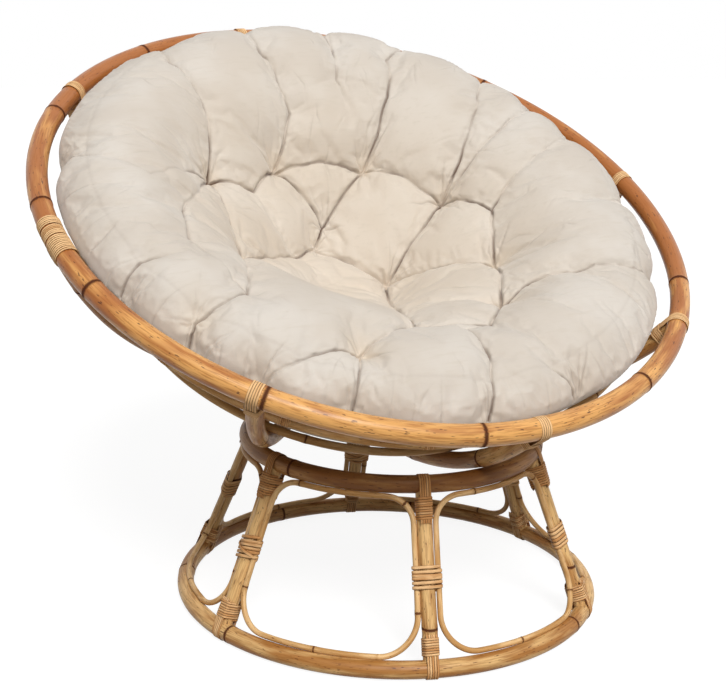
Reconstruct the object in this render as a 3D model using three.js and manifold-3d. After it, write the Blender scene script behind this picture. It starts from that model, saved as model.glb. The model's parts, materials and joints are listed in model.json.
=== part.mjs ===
// A papasan chair: a round rattan bowl that tilts on a round rattan base, with a tufted cushion.
// Millimetres. +Z is up and -Y is the front, the low side of the bowl. The origin is on the
// floor under the middle of the chair's outline.
// Every pole joint is lashed the way a cane worker does it: a flat strap of cane goes over the
// ring and down both sides of the pole, and one strand is wound round the pole and the strap.

import * as THREE from 'three';
import Module from 'manifold-3d';
import { mergeVertices } from 'three/addons/utils/BufferGeometryUtils.js';

const wasm = await Module();
wasm.setup();

const degree = Math.PI / 180;
const fullTurn = 2 * Math.PI;

const clearance = 0.3; // left between pieces that touch
const overrun = 6; // how far a cutter runs past what it cuts

// Base: two rings, six leaning legs and six bent cane hoops between the legs.
const floorRingRadius = 335; // centreline
const floorRingPole = 13.5; // radius of the pole
const seatRingRadius = 234;
const seatRingPole = 14;
const seatRingHeight = 267; // centreline above the floor
const legPole = 11.8;
const legCount = 6;
const firstLegTurn = -16.8 * degree; // round from the front
const hoopCane = 4.5;
const hoopCorner = 50; // bend radius of a hoop's corners
const hoopTieShare = 0.48; // where a leg's tie is, up the leg

// Bowl: a rim, eight ribs on a sphere, a hub ring under them and two cane rings inside.
const bowlRadius = 577; // of the sphere that the ribs' centrelines lie on
const rimDepth = 221; // of the rim's centreline under the sphere's centre
const rimPole = 16;
const ribPole = 13.5;
const ribCount = 8;
const firstRibTurn = 3.4 * degree;
const hubRadius = 110;
const hubPole = 13.5;
const innerCane = 6.5;
const upperRingDrop = 92.5; // down the ribs from the rim's centreline
const upperRingLean = 3 * degree;
const upperRingLeanTurn = 120 * degree;
const lowerRingReach = 42.5 * degree; // from the bowl's pole, at the sphere's centre
const bowlTilt = 27 * degree;

// Cane lashings.
const strapWidth = 18;
const strapThickness = 1.3;
const strandWidth = 5.4;
const strandThickness = 1.4;
const strandPitch = 6; // from one loop to the next
const spliceCorners = 8; // of a loop round the rim
const strapSteps = 3; // from where a strap meets the ring to the middle of its way over it
const legTopLoops = 5;
const legFootLoops = 4;
const legTieLoops = 5;
const ribTopLoops = 4;
const splicedRib = 7;
const firstSpliceLoops = 3;
const secondSpliceLoops = 6;
const tailRise = 1.4; // of a strand's tucked end over its last loop
const tuckUnder = 2; // how far a strap's end shows past its winding
const firstLoopGap = 2.6; // between the ring's cane and the first loop on the pole

// Cushion.
const cushionGap = 5; // least, between the cushion's edge and the rim
const rollWidth = 100; // from the edge in to the rolled edge's top
const crestRise = 60; // of that top above the rim's centreline
const crestLean = 15; // how much more it rises at the back, and less at the front
const edgeDrop = 12; // of the widest line under the rim's centreline
const middleThickness = 172;
const seatedLimit = 55 * degree; // how far out from the bowl's pole the underside is seated
const cushionShift = 12; // the cushion lies this much to the left
const tuftDepth = 46;
const tuftReach = 34;
const grooveDepth = 24;
const grooveReach = 26;
const lobeDepth = 13; // how far the edge is drawn in at a groove
const outerTuftTurnShares = [0.075, 0.165, 0.31, 0.42, 0.55, 0.655, 0.775, 0.855, 0.93];
const outerTuftRadiusShares = [0.725, 0.6, 0.565, 0.585, 0.53, 0.635, 0.56, 0.93, 0.95];
const innerTuftTurnShares = [0.26, 0.5];
const innerTuftRadiusShares = [0.25, 0.27];
const columnsPerLobe = 6;
const dishRowShares = [0.13, 0.25, 0.38, 0.48, 0.55, 0.61, 0.7, 0.8, 0.92, 1];
const seatedRowShares = [1, 0.68, 0.34];

// How finely round shapes are cut.
const poleSides = 10;
const ribSides = 8;
const caneSides = 6;
const baseRingSegments = 48;
const rimSegments = 64;
const hubSegments = 24;
const innerRingSegments = 48;
const ribSteps = 12;
const hoopCornerSteps = 4;
const hoopRunSteps = 6;
const copeSides = 20;
const rollSteps = 5;
const underSteps = 3;

// Worked out.
const floorRingHeight = floorRingPole + clearance + strapThickness;
const rimRadius = Math.sqrt(bowlRadius ** 2 - rimDepth ** 2);
const ribReach = Math.atan2(rimRadius, rimDepth);
const hubReach = Math.asin(hubRadius / bowlRadius);
const ribStep = (ribReach - hubReach) / ribSteps;
const strapStand = clearance + strapThickness;
const ribFlat = ribPole * Math.cos(Math.PI / ribSides);
const ribSeat = bowlRadius + ribFlat + clearance + strapStand + seatRingPole;
const bowlHeight = seatRingHeight + Math.sqrt(ribSeat ** 2 - seatRingRadius ** 2);
const outlineShift = rimDepth * Math.sin(bowlTilt);
const legLean = Math.atan2(floorRingRadius - seatRingRadius, seatRingHeight - floorRingHeight);
const legSpan = (seatRingHeight - floorRingHeight) / Math.cos(legLean);
const legSpacing = fullTurn / legCount;
const ribSpacing = fullTurn / ribCount;
const insideRibs = bowlRadius * Math.cos(ribStep / 2) - ribFlat - clearance;
const upperRingReach = ribReach - upperRingDrop / bowlRadius;
const cushionSeat = insideRibs - 2 * innerCaneReach(lowerRingReach) - clearance;
const insideLashings = bowlRadius - rimPole - strapStand - strandThickness - 3 * clearance;
const cushionEdge = rimRadius - rimPole - cushionShift - cushionGap;
const cushionCrest = cushionEdge - rollWidth;
const seatedReach = cushionSeat * Math.sin(seatedLimit);

const rattan = { color: 0xc68f50, roughness: 0.42, metalness: 0 };
const rimRattan = { color: 0xcf914c, roughness: 0.38, metalness: 0 };
const hoopCaneLook = { color: 0xd3a566, roughness: 0.45, metalness: 0 };
const lashingCane = { color: 0xd9b27a, roughness: 0.55, metalness: 0 };
const canvas = { color: 0xe2dacc, roughness: 0.95, metalness: 0 };

function piece(name, geometry, look) {
  const mesh = new THREE.Mesh(geometry, new THREE.MeshStandardMaterial(look));
  mesh.name = name;
  return mesh;
}

// A frame at a joint: x along the ring, z along the pole and away from the ring.
function jointFrame(origin, along, away) {
  return new THREE.Matrix4().makeBasis(along, away.clone().cross(along), away).setPosition(origin);
}

function onFrame(mesh, frame) {
  mesh.applyMatrix4(frame);
  return mesh;
}

// The level direction that points out at a turn round from the front.
function outward(turn) {
  return new THREE.Vector3(Math.sin(turn), -Math.cos(turn), 0);
}

// The level direction along a ring at a turn, to the right when seen from outside.
function along(turn) {
  return new THREE.Vector3(Math.cos(turn), Math.sin(turn), 0);
}

function regularOutline(radius, sides) {
  const points = [];
  for (let side = 0; side < sides; side++) {
    const turn = (side + 0.5) * fullTurn / sides;
    points.push(new THREE.Vector2(radius * Math.cos(turn), radius * Math.sin(turn)));
  }
  return points;
}

// A ring of pole. Its flats are centred on the poles that meet it, at their true radius.
function poleRing(radius, pole, sides, segments, flatTurn) {
  const geometry = new THREE.TorusGeometry(radius / Math.cos(Math.PI / segments), pole, sides, segments);
  return geometry.rotateZ(flatTurn - Math.PI / 2 + Math.PI / segments);
}

// Six times the volume inside a skin, which is negative where its faces point inwards.
function signedVolume(points, index) {
  let volume = 0;
  for (let at = 0; at < index.length; at += 3) {
    const [a, b, c] = [points[index[at]], points[index[at + 1]], points[index[at + 2]]];
    volume += a.dot(b.clone().cross(c));
  }
  return volume;
}

// A solid skin over rings of points, capped at its two ends.
function skin(rings) {
  const size = rings[0].length;
  const points = rings.flat();
  const position = points.flatMap((point) => [point.x, point.y, point.z]);
  const index = [];
  for (let row = 0; row < rings.length - 1; row++) {
    for (let side = 0; side < size; side++) {
      const turned = (side + 1) % size;
      const [a, b] = [row * size + side, row * size + turned];
      const [c, d] = [b + size, a + size];
      index.push(a, b, c, a, c, d);
    }
  }
  const end = (rings.length - 1) * size;
  for (let side = 1; side < size - 1; side++) {
    index.push(0, side + 1, side, end, end + side, end + side + 1);
  }
  if (signedVolume(points, index) < 0) index.reverse();
  const geometry = new THREE.BufferGeometry();
  geometry.setAttribute('position', new THREE.Float32BufferAttribute(position, 3));
  geometry.setIndex(index);
  geometry.computeVertexNormals();
  return geometry;
}

function solidOf(geometry) {
  const bare = geometry.clone();
  for (const name of Object.keys(bare.attributes)) {
    if (name !== 'position') bare.deleteAttribute(name);
  }
  const merged = mergeVertices(bare);
  const vertProperties = new Float32Array(merged.attributes.position.array);
  const triVerts = new Uint32Array(merged.index.array);
  return new wasm.Manifold(new wasm.Mesh({ numProp: 3, vertProperties, triVerts }));
}

function geometryOf(solid) {
  const mesh = solid.getMesh();
  const geometry = new THREE.BufferGeometry();
  geometry.setAttribute('position', new THREE.Float32BufferAttribute(mesh.vertProperties, 3));
  geometry.setIndex(Array.from(mesh.triVerts));
  geometry.computeVertexNormals();
  return geometry;
}

function cut(geometry, cutters) {
  return geometryOf(cutters.reduce((solid, cutter) => solid.subtract(solidOf(cutter)), solidOf(geometry)));
}

function joined(geometries) {
  return geometryOf(geometries.map(solidOf).reduce((whole, solid) => whole.add(solid)));
}

// What a pole's end is coped to: the ring it meets, as a rod along the frame's x.
function copeCutter(ringPole, pole, frame) {
  const reach = 2 * (pole + overrun);
  const radius = (ringPole + clearance) / Math.cos(Math.PI / copeSides);
  const rod = new THREE.CylinderGeometry(radius, radius, reach, copeSides);
  return rod.rotateZ(Math.PI / 2).applyMatrix4(frame);
}

// The slope that a strap's sides take between the pole and the ring, and where they start.
function strapSides(ringPole, pole, length) {
  const arc = Math.max(ringPole, pole) + clearance;
  const side = pole + clearance;
  const leave = Math.atan2(side, length) + Math.acos(arc / Math.hypot(side, length));
  return { arc, side, leave };
}

// A flat strap over the ring and down both sides of the pole. Its faces over the ring touch
// the ring's circle, and one of them can be made to face a given way, as where it stands.
function strap(ringPole, pole, length, facing) {
  const { arc, side, leave } = strapSides(ringPole, pole, length);
  const middle = facing === undefined ? Math.PI : facing;
  const faces = [];
  for (let step = 0; step < strapSteps; step++) faces.push(leave + (middle - leave) * step / strapSteps);
  for (let step = 0; step <= strapSteps; step++) {
    faces.push(middle + (fullTurn - leave - middle) * step / strapSteps);
  }
  const rings = [];
  const addRing = (inner, outer) => {
    const corners = [[-1, inner], [1, inner], [1, outer], [-1, outer]];
    rings.push(corners.map(([hand, at]) => new THREE.Vector3(hand * strapWidth / 2, at.y, at.x)));
  };
  const endAt = (sign, offset) => new THREE.Vector2(
    length + offset * Math.cos(leave),
    sign * (side + offset * Math.sin(leave)),
  );
  addRing(endAt(1, 0), endAt(1, strapThickness));
  for (let step = 0; step < faces.length - 1; step++) {
    const turn = (faces[step] + faces[step + 1]) / 2;
    const spread = Math.cos((faces[step + 1] - faces[step]) / 2);
    const cornerAt = (radius) => new THREE.Vector2(Math.cos(turn), Math.sin(turn)).multiplyScalar(radius / spread);
    addRing(cornerAt(arc), cornerAt(arc + strapThickness));
  }
  addRing(endAt(-1, 0), endAt(-1, strapThickness));
  return skin(rings);
}

// The same outline, moved out square to its edges.
function offsetOutline(corners, distance) {
  return corners.map((corner, index) => {
    const before = corners[(index + corners.length - 1) % corners.length];
    const after = corners[(index + 1) % corners.length];
    const edgeIn = corner.clone().sub(before).normalize();
    const edgeOut = after.clone().sub(corner).normalize();
    const mitre = new THREE.Vector2(edgeIn.y + edgeOut.y, -edgeIn.x - edgeOut.x).normalize();
    const stretch = mitre.x * edgeIn.y - mitre.y * edgeIn.x;
    return corner.clone().addScaledVector(mitre, distance / stretch);
  });
}

let leastWindingGap = Infinity;

// The least distance between the points of one loop and those of the next loops.
function measureWinding(rings, corners) {
  for (let row = 0; row < rings.length; row++) {
    for (let other = row + corners - 1; other < rings.length; other++) {
      for (const point of rings[row]) {
        for (const far of rings[other]) leastWindingGap = Math.min(leastWindingGap, point.distanceTo(far));
      }
    }
  }
}

// One unbroken strand wound in loops round an outline. outlineAt gives the outline at a height
// along the winding, and place puts a point of it in space. A step goes from corner to corner.
function woundRings(outlineAt, steps, place) {
  const corners = outlineAt(0).length;
  const rings = [];
  for (let step = 0; step <= steps; step++) {
    const height = strandWidth / 2 + strandPitch * step / corners;
    const outline = outlineAt(height);
    const inner = outline[step % corners];
    const outer = offsetOutline(outline, strandThickness)[step % corners];
    rings.push(strandSection(inner, outer, height, place));
  }
  measureWinding(rings, corners);
  return rings;
}

// A strand is flat inside and crowned outside.
function strandSection(inner, outer, height, place) {
  return [
    place(inner.x, inner.y, height - strandWidth / 2),
    place(outer.x, outer.y, height),
    place(inner.x, inner.y, height + strandWidth / 2),
  ];
}

function winding(outline, loops, place) {
  return skin(woundRings(() => outline, loops * outline.length, place));
}

// The outline of a strapped pole: square over the strap's edges, and from there along the
// pole's sides to where they meet.
function strappedOutline(pole, strapOut) {
  const wide = strapWidth / 2 + clearance;
  const high = strapOut + clearance;
  const touch = Math.atan2(high, wide) - Math.acos((pole + clearance) / Math.hypot(wide, high));
  const bare = (pole + clearance) / Math.cos(touch);
  const points = [[bare, 0], [wide, high], [-wide, high], [-bare, 0], [-wide, -high], [wide, -high]];
  return points.map(([x, y]) => new THREE.Vector2(x, y));
}

function windingLength(loops) {
  return strandPitch * loops + strandWidth;
}

// A lashed joint: the strap, and the strand wound round the pole and the strap's two sides.
// The strand's tail turns over the strap's edge and into it, which makes the two one piece.
function lashing(ringPole, pole, loops, facing) {
  const start = Math.max(ringPole, pole) + strapStand + firstLoopGap;
  const length = start + windingLength(loops) + tuckUnder;
  const { side, leave } = strapSides(ringPole, pole, length);
  const strapInAt = (height) => side + (length - start - height) / Math.tan(leave);
  const outlineAt = (height) => strappedOutline(pole, strapInAt(height) + strapThickness);
  const place = (x, y, height) => new THREE.Vector3(x, y, start + height);
  const corners = outlineAt(0).length;
  const rings = woundRings(outlineAt, loops * corners + 1, place);
  const tail = windingLength(loops) - strandWidth / 2 + tailRise;
  const sunk = new THREE.Vector2(strapWidth / 4, strapInAt(tail) + strapThickness / 2);
  rings.push(strandSection(sunk, sunk.clone().setY(sunk.y + strandThickness), tail, place));
  return joined([skin(rings), strap(ringPole, pole, length, facing)]);
}

// Base.
const base = new THREE.Group();
base.position.set(0, -outlineShift, 0);

const floorRing = poleRing(floorRingRadius, floorRingPole, poleSides, baseRingSegments, firstLegTurn);
const seatRing = poleRing(seatRingRadius, seatRingPole, poleSides, baseRingSegments, firstLegTurn);
base.add(piece('floor_ring', floorRing.translate(0, 0, floorRingHeight), rattan));
base.add(piece('seat_ring', seatRing.translate(0, 0, seatRingHeight), rattan));

function legFrames(turn) {
  const foot = outward(turn).multiplyScalar(floorRingRadius).setZ(floorRingHeight);
  const head = outward(turn).multiplyScalar(seatRingRadius).setZ(seatRingHeight);
  const up = head.clone().sub(foot).normalize();
  const tie = foot.clone().lerp(head, hoopTieShare);
  tie.addScaledVector(up, -windingLength(legTieLoops) / 2);
  return {
    foot: jointFrame(foot, along(turn), up),
    head: jointFrame(head, along(turn), up.clone().negate()),
    tie: jointFrame(tie, along(turn), up),
  };
}

function leg(frames) {
  const rod = new THREE.CylinderGeometry(legPole, legPole, legSpan, poleSides);
  rod.rotateX(Math.PI / 2).translate(0, 0, legSpan / 2).applyMatrix4(frames.foot);
  const footCope = copeCutter(floorRingPole, legPole, frames.foot);
  const headCope = copeCutter(seatRingPole, legPole, frames.head);
  return cut(rod, [footCope, headCope]);
}

// The outline round a leg with a hoop's cane on each side.
function tiedOutline() {
  const caneAt = legPole + clearance + 2 * hoopCane;
  const end = caneAt + clearance;
  const endHigh = hoopCane * Math.cos(Math.PI / 4);
  const middle = legPole / 2;
  const middleHigh = legPole + clearance;
  const points = [[end, -endHigh], [end, endHigh], [middle, middleHigh], [-middle, middleHigh]];
  points.push([-end, endHigh], [-end, -endHigh], [-middle, -middleHigh], [middle, -middleHigh]);
  return points.map(([x, y]) => new THREE.Vector2(x, y));
}

// A closed run through given points, with one step of tube to each point.
class PointLoop extends THREE.Curve {
  constructor(points) {
    super();
    this.points = points;
  }

  pointAt(index) {
    return this.points[(index + this.points.length) % this.points.length];
  }

  getPointAt(share) {
    return this.pointAt(Math.round(share * this.points.length)).clone();
  }

  getTangentAt(share) {
    const index = Math.round(share * this.points.length);
    const here = this.pointAt(index);
    const arriving = here.clone().sub(this.pointAt(index - 1)).normalize();
    const leaving = this.pointAt(index + 1).clone().sub(here).normalize();
    return arriving.add(leaving).normalize();
  }
}

// A hoop lies on the cone of the legs. Its outline is laid out flat, as half of it, with the
// distance round from the middle of its bay and the height up the slope, and then mirrored.
function hoop(middleTurn) {
  const low = floorRingPole + clearance + hoopCane;
  const high = legSpan - seatRingPole - clearance - hoopCane;
  const sideGap = legPole + clearance + hoopCane;
  const coneRadius = (slope) => floorRingRadius - slope * Math.sin(legLean);
  const sideAt = (slope) => coneRadius(slope) * legSpacing / 2 - sideGap;
  const sideLean = Math.atan(Math.sin(legLean) * legSpacing / 2);
  const half = [];
  const addCorner = (slope, from, to) => {
    const centre = new THREE.Vector2(sideAt(slope) - hoopCorner / Math.cos(sideLean), slope);
    for (let step = 0; step <= hoopCornerSteps; step++) {
      const turn = from + (to - from) * step / hoopCornerSteps;
      half.push(new THREE.Vector2(
        centre.x + hoopCorner * Math.cos(turn),
        centre.y + hoopCorner * Math.sin(turn),
      ));
    }
  };
  addCorner(low + hoopCorner, -Math.PI / 2, sideLean);
  addCorner(high - hoopCorner, sideLean, Math.PI / 2);
  const run = (from, to, slope) => {
    const points = [];
    for (let step = 1; step < hoopRunSteps; step++) {
      points.push(new THREE.Vector2(from + (to - from) * step / hoopRunSteps, slope));
    }
    return points;
  };
  const mirrored = half.map((point) => new THREE.Vector2(-point.x, point.y)).reverse();
  const top = run(half.at(-1).x, -half.at(-1).x, high);
  const bottom = run(-half[0].x, half[0].x, low);
  const flat = [...half, ...top, ...mirrored, ...bottom];
  const points = flat.map((point) => {
    const radius = coneRadius(point.y);
    const height = floorRingHeight + point.y * Math.cos(legLean);
    return outward(middleTurn + point.x / radius).multiplyScalar(radius).setZ(height);
  });
  return new THREE.TubeGeometry(new PointLoop(points), points.length, hoopCane, caneSides, true);
}

for (let index = 0; index < legCount; index++) {
  const turn = firstLegTurn + index * legSpacing;
  const frames = legFrames(turn);
  const name = `leg_${index + 1}`;
  base.add(piece(name, leg(frames), rattan));
  const footLashing = lashing(floorRingPole, legPole, legFootLoops, Math.PI - legLean);
  const headLashing = lashing(seatRingPole, legPole, legTopLoops);
  const tie = winding(tiedOutline(), legTieLoops, (x, y, height) => new THREE.Vector3(x, y, height));
  base.add(onFrame(piece(`${name}_foot_lashing`, footLashing, lashingCane), frames.foot));
  base.add(onFrame(piece(`${name}_head_lashing`, headLashing, lashingCane), frames.head));
  base.add(onFrame(piece(`${name}_hoop_tie`, tie, lashingCane), frames.tie));
  base.add(piece(`hoop_${index + 1}`, hoop(turn + legSpacing / 2), hoopCaneLook));
}

// Bowl. Its group's origin is the sphere's centre, and +Z there is the bowl's own axis.
const bowl = new THREE.Group();
bowl.position.set(0, -outlineShift, bowlHeight);
bowl.rotation.x = bowlTilt;

const rim = poleRing(rimRadius, rimPole, poleSides, rimSegments, firstRibTurn);
const hub = poleRing(hubRadius, hubPole, poleSides, hubSegments, firstRibTurn);
bowl.add(piece('rim', rim.translate(0, 0, -rimDepth), rimRattan));
bowl.add(piece('hub_ring', hub.translate(0, 0, -bowlRadius * Math.cos(hubReach)), rattan));

// A place on a sphere about the group's origin, at a reach from the bowl's pole.
function onBowl(radius, reach, turn) {
  return outward(turn).multiplyScalar(radius * Math.sin(reach)).setZ(-radius * Math.cos(reach));
}

class RibCurve extends THREE.Curve {
  constructor(turn) {
    super();
    this.turn = turn;
  }

  getPoint(share) {
    return onBowl(bowlRadius, hubReach + (ribReach - hubReach) * share, this.turn);
  }
}

// The frames at a rib's two ends look along its first straight step.
function ribFrames(turn) {
  const head = onBowl(bowlRadius, ribReach, turn);
  const down = onBowl(bowlRadius, ribReach - ribStep, turn).sub(head).normalize();
  const foot = onBowl(bowlRadius, hubReach, turn);
  const up = onBowl(bowlRadius, hubReach + ribStep, turn).sub(foot).normalize();
  return { head: jointFrame(head, along(turn), down), foot: jointFrame(foot, along(turn), up) };
}

function rib(turn, frames) {
  const outline = new THREE.Shape(regularOutline(ribPole, ribSides));
  const options = { steps: ribSteps, bevelEnabled: false, extrudePath: new RibCurve(turn) };
  const pole = new THREE.ExtrudeGeometry(outline, options);
  const headCope = copeCutter(rimPole, ribPole, frames.head);
  const footCope = copeCutter(hubPole, ribPole, frames.foot);
  return cut(pole, [headCope, footCope]);
}

for (let index = 0; index < ribCount; index++) {
  const turn = firstRibTurn + index * ribSpacing;
  const frames = ribFrames(turn);
  const name = `rib_${index + 1}`;
  bowl.add(piece(name, rib(turn, frames), rattan));
  const headLashing = lashing(rimPole, ribPole, ribTopLoops);
  bowl.add(onFrame(piece(`${name}_rim_lashing`, headLashing, lashingCane), frames.head));
}

// How far a cane ring's faceted section stands out from its centreline, towards the ribs.
function innerCaneReach(reach) {
  const corner = fullTurn / caneSides;
  const side = (Math.PI / 2 - reach) / corner;
  return innerCane * Math.cos((side - Math.round(side)) * corner);
}

// The two cane rings lie inside the ribs. The upper one was set a little out of level.
function innerRing(reach, lean, leanTurn) {
  const sphere = insideRibs - innerCaneReach(reach);
  const ring = poleRing(sphere * Math.sin(reach), innerCane, caneSides, innerRingSegments, firstRibTurn);
  ring.translate(0, 0, -sphere * Math.cos(reach));
  return ring.applyMatrix4(new THREE.Matrix4().makeRotationAxis(along(leanTurn), -lean));
}

bowl.add(piece('upper_cane_ring', innerRing(upperRingReach, upperRingLean, upperRingLeanTurn), hoopCaneLook));
bowl.add(piece('lower_cane_ring', innerRing(lowerRingReach, 0, 0), hoopCaneLook));

// The rim's splice is wrapped on both sides of the rib that meets it.
const spliceTurn = firstRibTurn + (splicedRib - 1) * ribSpacing;
const rimFacet = rimRadius * (1 / Math.cos(Math.PI / rimSegments) - 1);

function spliceWrap(loops, hand) {
  const within = rimPole + clearance + rimFacet;
  const round = regularOutline(within / Math.cos(Math.PI / spliceCorners), spliceCorners);
  const start = ribPole + clearance;
  const place = (x, y, height) => {
    const turn = spliceTurn + hand * (start + height) / rimRadius;
    return outward(turn).multiplyScalar(rimRadius + rimFacet / 2 + hand * x).setZ(y - rimDepth);
  };
  return winding(round, loops, place);
}

bowl.add(piece('rim_splice_wrap_1', spliceWrap(firstSpliceLoops, -1), lashingCane));
bowl.add(piece('rim_splice_wrap_2', spliceWrap(secondSpliceLoops, 1), lashingCane));

// Cushion: a round pad with a rolled edge, drawn down at its tufts and along grooves from the
// outer tufts to the edge. Its underside lies on the cane rings.
function tuftsAt(turnShares, radiusShares) {
  return turnShares.map((share, index) => {
    const turn = share * fullTurn;
    const radius = radiusShares[index] * cushionCrest;
    return { turn, radius, place: outward(turn).multiplyScalar(radius) };
  });
}

const outerTufts = tuftsAt(outerTuftTurnShares, outerTuftRadiusShares);
const tufts = [...outerTufts, ...tuftsAt(innerTuftTurnShares, innerTuftRadiusShares)];

function pulse(distance, reach) {
  return Math.exp(-((distance / reach) ** 2));
}

function tuftPull(place) {
  return Math.max(...tufts.map((tuft) => pulse(place.distanceTo(tuft.place), tuftReach)));
}

// A groove deepens from its tuft out to the crest.
function groovePull(radius, turn) {
  return Math.max(...outerTufts.map((tuft) => {
    const offset = Math.abs(Math.sin((turn - tuft.turn) / 2)) * 2 * radius;
    const outside = THREE.MathUtils.smoothstep(radius, tuft.radius - tuftReach, cushionCrest);
    return pulse(offset, grooveReach) * outside;
  }));
}

// The underside's height where the cushion lies on the cane rings.
function seatedHeight(place) {
  return -Math.sqrt(cushionSeat ** 2 - (place.x - cushionShift) ** 2 - place.y ** 2);
}

// One column of the cushion's cover, from the middle of its top to the middle of its underside.
function cushionColumn(turn) {
  const column = [];
  const middleTop = middleThickness - cushionSeat;
  const crestTop = crestRise - crestLean * Math.cos(turn) - rimDepth;
  const widest = -rimDepth - edgeDrop;
  for (const share of dishRowShares) {
    const radius = cushionCrest * share;
    const place = outward(turn).multiplyScalar(radius);
    const rise = share ** 2 * (3 - 2 * share);
    const pull = Math.max(tuftDepth * tuftPull(place), grooveDepth * groovePull(radius, turn));
    column.push(place.setZ(middleTop + (crestTop - middleTop) * rise - pull));
  }
  const groove = groovePull(cushionCrest, turn);
  for (let step = 1; step <= rollSteps; step++) {
    const roll = step / rollSteps * Math.PI / 2;
    const radius = cushionCrest + (cushionEdge - cushionCrest - lobeDepth * groove) * Math.sin(roll);
    const height = widest + (crestTop - grooveDepth * groove - widest) * Math.cos(roll);
    column.push(outward(turn).multiplyScalar(radius).setZ(height));
  }
  const edge = cushionEdge - lobeDepth * groove;
  const seatHeight = seatedHeight(outward(turn).multiplyScalar(seatedReach));
  const seatSlope = seatedReach / -seatHeight;
  const start = new THREE.Vector2(edge, widest);
  const control = new THREE.Vector2(edge, seatHeight + (edge - seatedReach) * seatSlope);
  const under = new THREE.QuadraticBezierCurve(start, control, new THREE.Vector2(seatedReach, seatHeight));
  for (let step = 1; step <= underSteps; step++) {
    const point = under.getPoint(step / underSteps);
    column.push(outward(turn).multiplyScalar(point.x).setZ(point.y));
  }
  for (const share of seatedRowShares) {
    const place = outward(turn).multiplyScalar(cushionSeat * Math.sin(lowerRingReach) * share);
    column.push(place.setZ(seatedHeight(place)));
  }
  for (const point of column) {
    point.x -= cushionShift;
    point.clampLength(0, point.z < widest ? cushionSeat : insideLashings);
  }
  return column;
}

function cushion() {
  const columns = [];
  outerTufts.forEach(({ turn }, index) => {
    const next = index + 1 < outerTufts.length ? outerTufts[index + 1].turn : outerTufts[0].turn + fullTurn;
    for (let step = 0; step < columnsPerLobe; step++) {
      columns.push(cushionColumn(turn + (next - turn) * step / columnsPerLobe));
    }
  });
  const rows = columns[0].map((_, row) => columns.map((column) => column[row]));
  return skin(rows);
}

bowl.add(piece('cushion', cushion(), canvas));

console.log(`least gap between a winding's loops: ${leastWindingGap.toFixed(2)} mm`);

const chair = new THREE.Group();
chair.add(base, bowl);

export default chair;
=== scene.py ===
import json
import math
from functools import partial

import bmesh
import bpy
import numpy as np
from mathutils import Matrix, Vector


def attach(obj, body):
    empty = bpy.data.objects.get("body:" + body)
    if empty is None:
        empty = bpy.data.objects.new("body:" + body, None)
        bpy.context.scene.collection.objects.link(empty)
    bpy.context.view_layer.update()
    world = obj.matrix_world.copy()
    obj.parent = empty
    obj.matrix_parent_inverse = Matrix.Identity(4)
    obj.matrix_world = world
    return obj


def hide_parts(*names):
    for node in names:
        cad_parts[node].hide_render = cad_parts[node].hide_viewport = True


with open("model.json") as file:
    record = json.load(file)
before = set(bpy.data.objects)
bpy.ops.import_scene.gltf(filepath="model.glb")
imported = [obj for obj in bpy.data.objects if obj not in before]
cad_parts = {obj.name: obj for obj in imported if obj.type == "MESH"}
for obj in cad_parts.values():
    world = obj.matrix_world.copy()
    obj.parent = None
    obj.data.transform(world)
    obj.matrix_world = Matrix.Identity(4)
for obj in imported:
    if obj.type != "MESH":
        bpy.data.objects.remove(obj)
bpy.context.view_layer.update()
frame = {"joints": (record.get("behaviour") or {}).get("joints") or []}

# A papasan chair. Sizes are in millimetres and turns in degrees, round from the front, until
# a piece is made: then its points become metres in the frame of the solids.
mm = 0.001
degree = math.pi / 180
fullTurn = 2 * math.pi
clearance = 0.3

camera = {
    "place": (-1.1053, -2.0769, 1.0177),
    "right": (0.88671, -0.46136, 0.02982),
    "up": (0.09435, 0.24373, 0.96524),
    "lens": 71.9,
    "sensor": 36,
    "frame": (726, 700),  # the picture's width and height in pixels
}


def addCamera():
    right, up = Vector(camera["right"]), Vector(camera["up"])
    axes = Matrix((right, up, right.cross(up))).transposed().to_4x4()
    data = bpy.data.cameras.new("studioCamera")
    data.lens = camera["lens"]
    data.sensor_width = camera["sensor"]
    holder = shown("studioCamera", data)
    holder.matrix_world = Matrix.Translation(camera["place"]) @ axes
    bpy.context.scene.camera = holder


def shown(name, data):
    holder = bpy.data.objects.new(name, data)
    bpy.context.scene.collection.objects.link(holder)
    return holder


def addNode(tree, kind, inputs=(), **settings):
    # Inputs go by name or place, or come as a list in their order. Each is a value, another
    # node's output, or a node, which stands for its first output.
    node = tree.nodes.new(kind)
    for name, value in settings.items():
        setattr(node, name, value)
    for name, value in inputs.items() if isinstance(inputs, dict) else enumerate(inputs):
        if isinstance(value, bpy.types.Node):
            value = value.outputs[0]
        if isinstance(value, bpy.types.NodeSocket):
            tree.links.new(value, node.inputs[name])
        else:
            node.inputs[name].default_value = value
    return node


eased = {"interpolation_type": "SMOOTHSTEP"}  # for Map Range: value, from low, high, to low, high


def colour(text):
    parts = [int(text[at:at + 2], 16) / 255 for at in (0, 2, 4)]
    return [*(((part + 0.055) / 1.055) ** 2.4 if part > 0.04045 else part / 12.92 for part in parts), 1]


def newMaterial(name):
    material = bpy.data.materials.new(name)
    material.use_nodes = True
    material.node_tree.nodes.clear()
    return material, material.node_tree


# Materials. A pole's grain runs along it: its pieces carry the place on a straightened pole,
# the distance to the nearest knuckle, a tone for each length between knuckles, and how far
# to the side of its section each point is.
caneGrain = {
    "noises": (("fibre", 14, 4), ("cloud", 7, 2), ("fleck", 5, 1)),  # width, times as long, detail
    "fleckShare": 0.8, "smearShare": 0.55, "ragged": 5, "ringShare": 0.95, "ringDulls": 0.4, "ringDepth": 0.8,
    "edgeShadeStart": 0.6, "coatRoughness": 0.35, "bump": 0.6,
}


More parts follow.
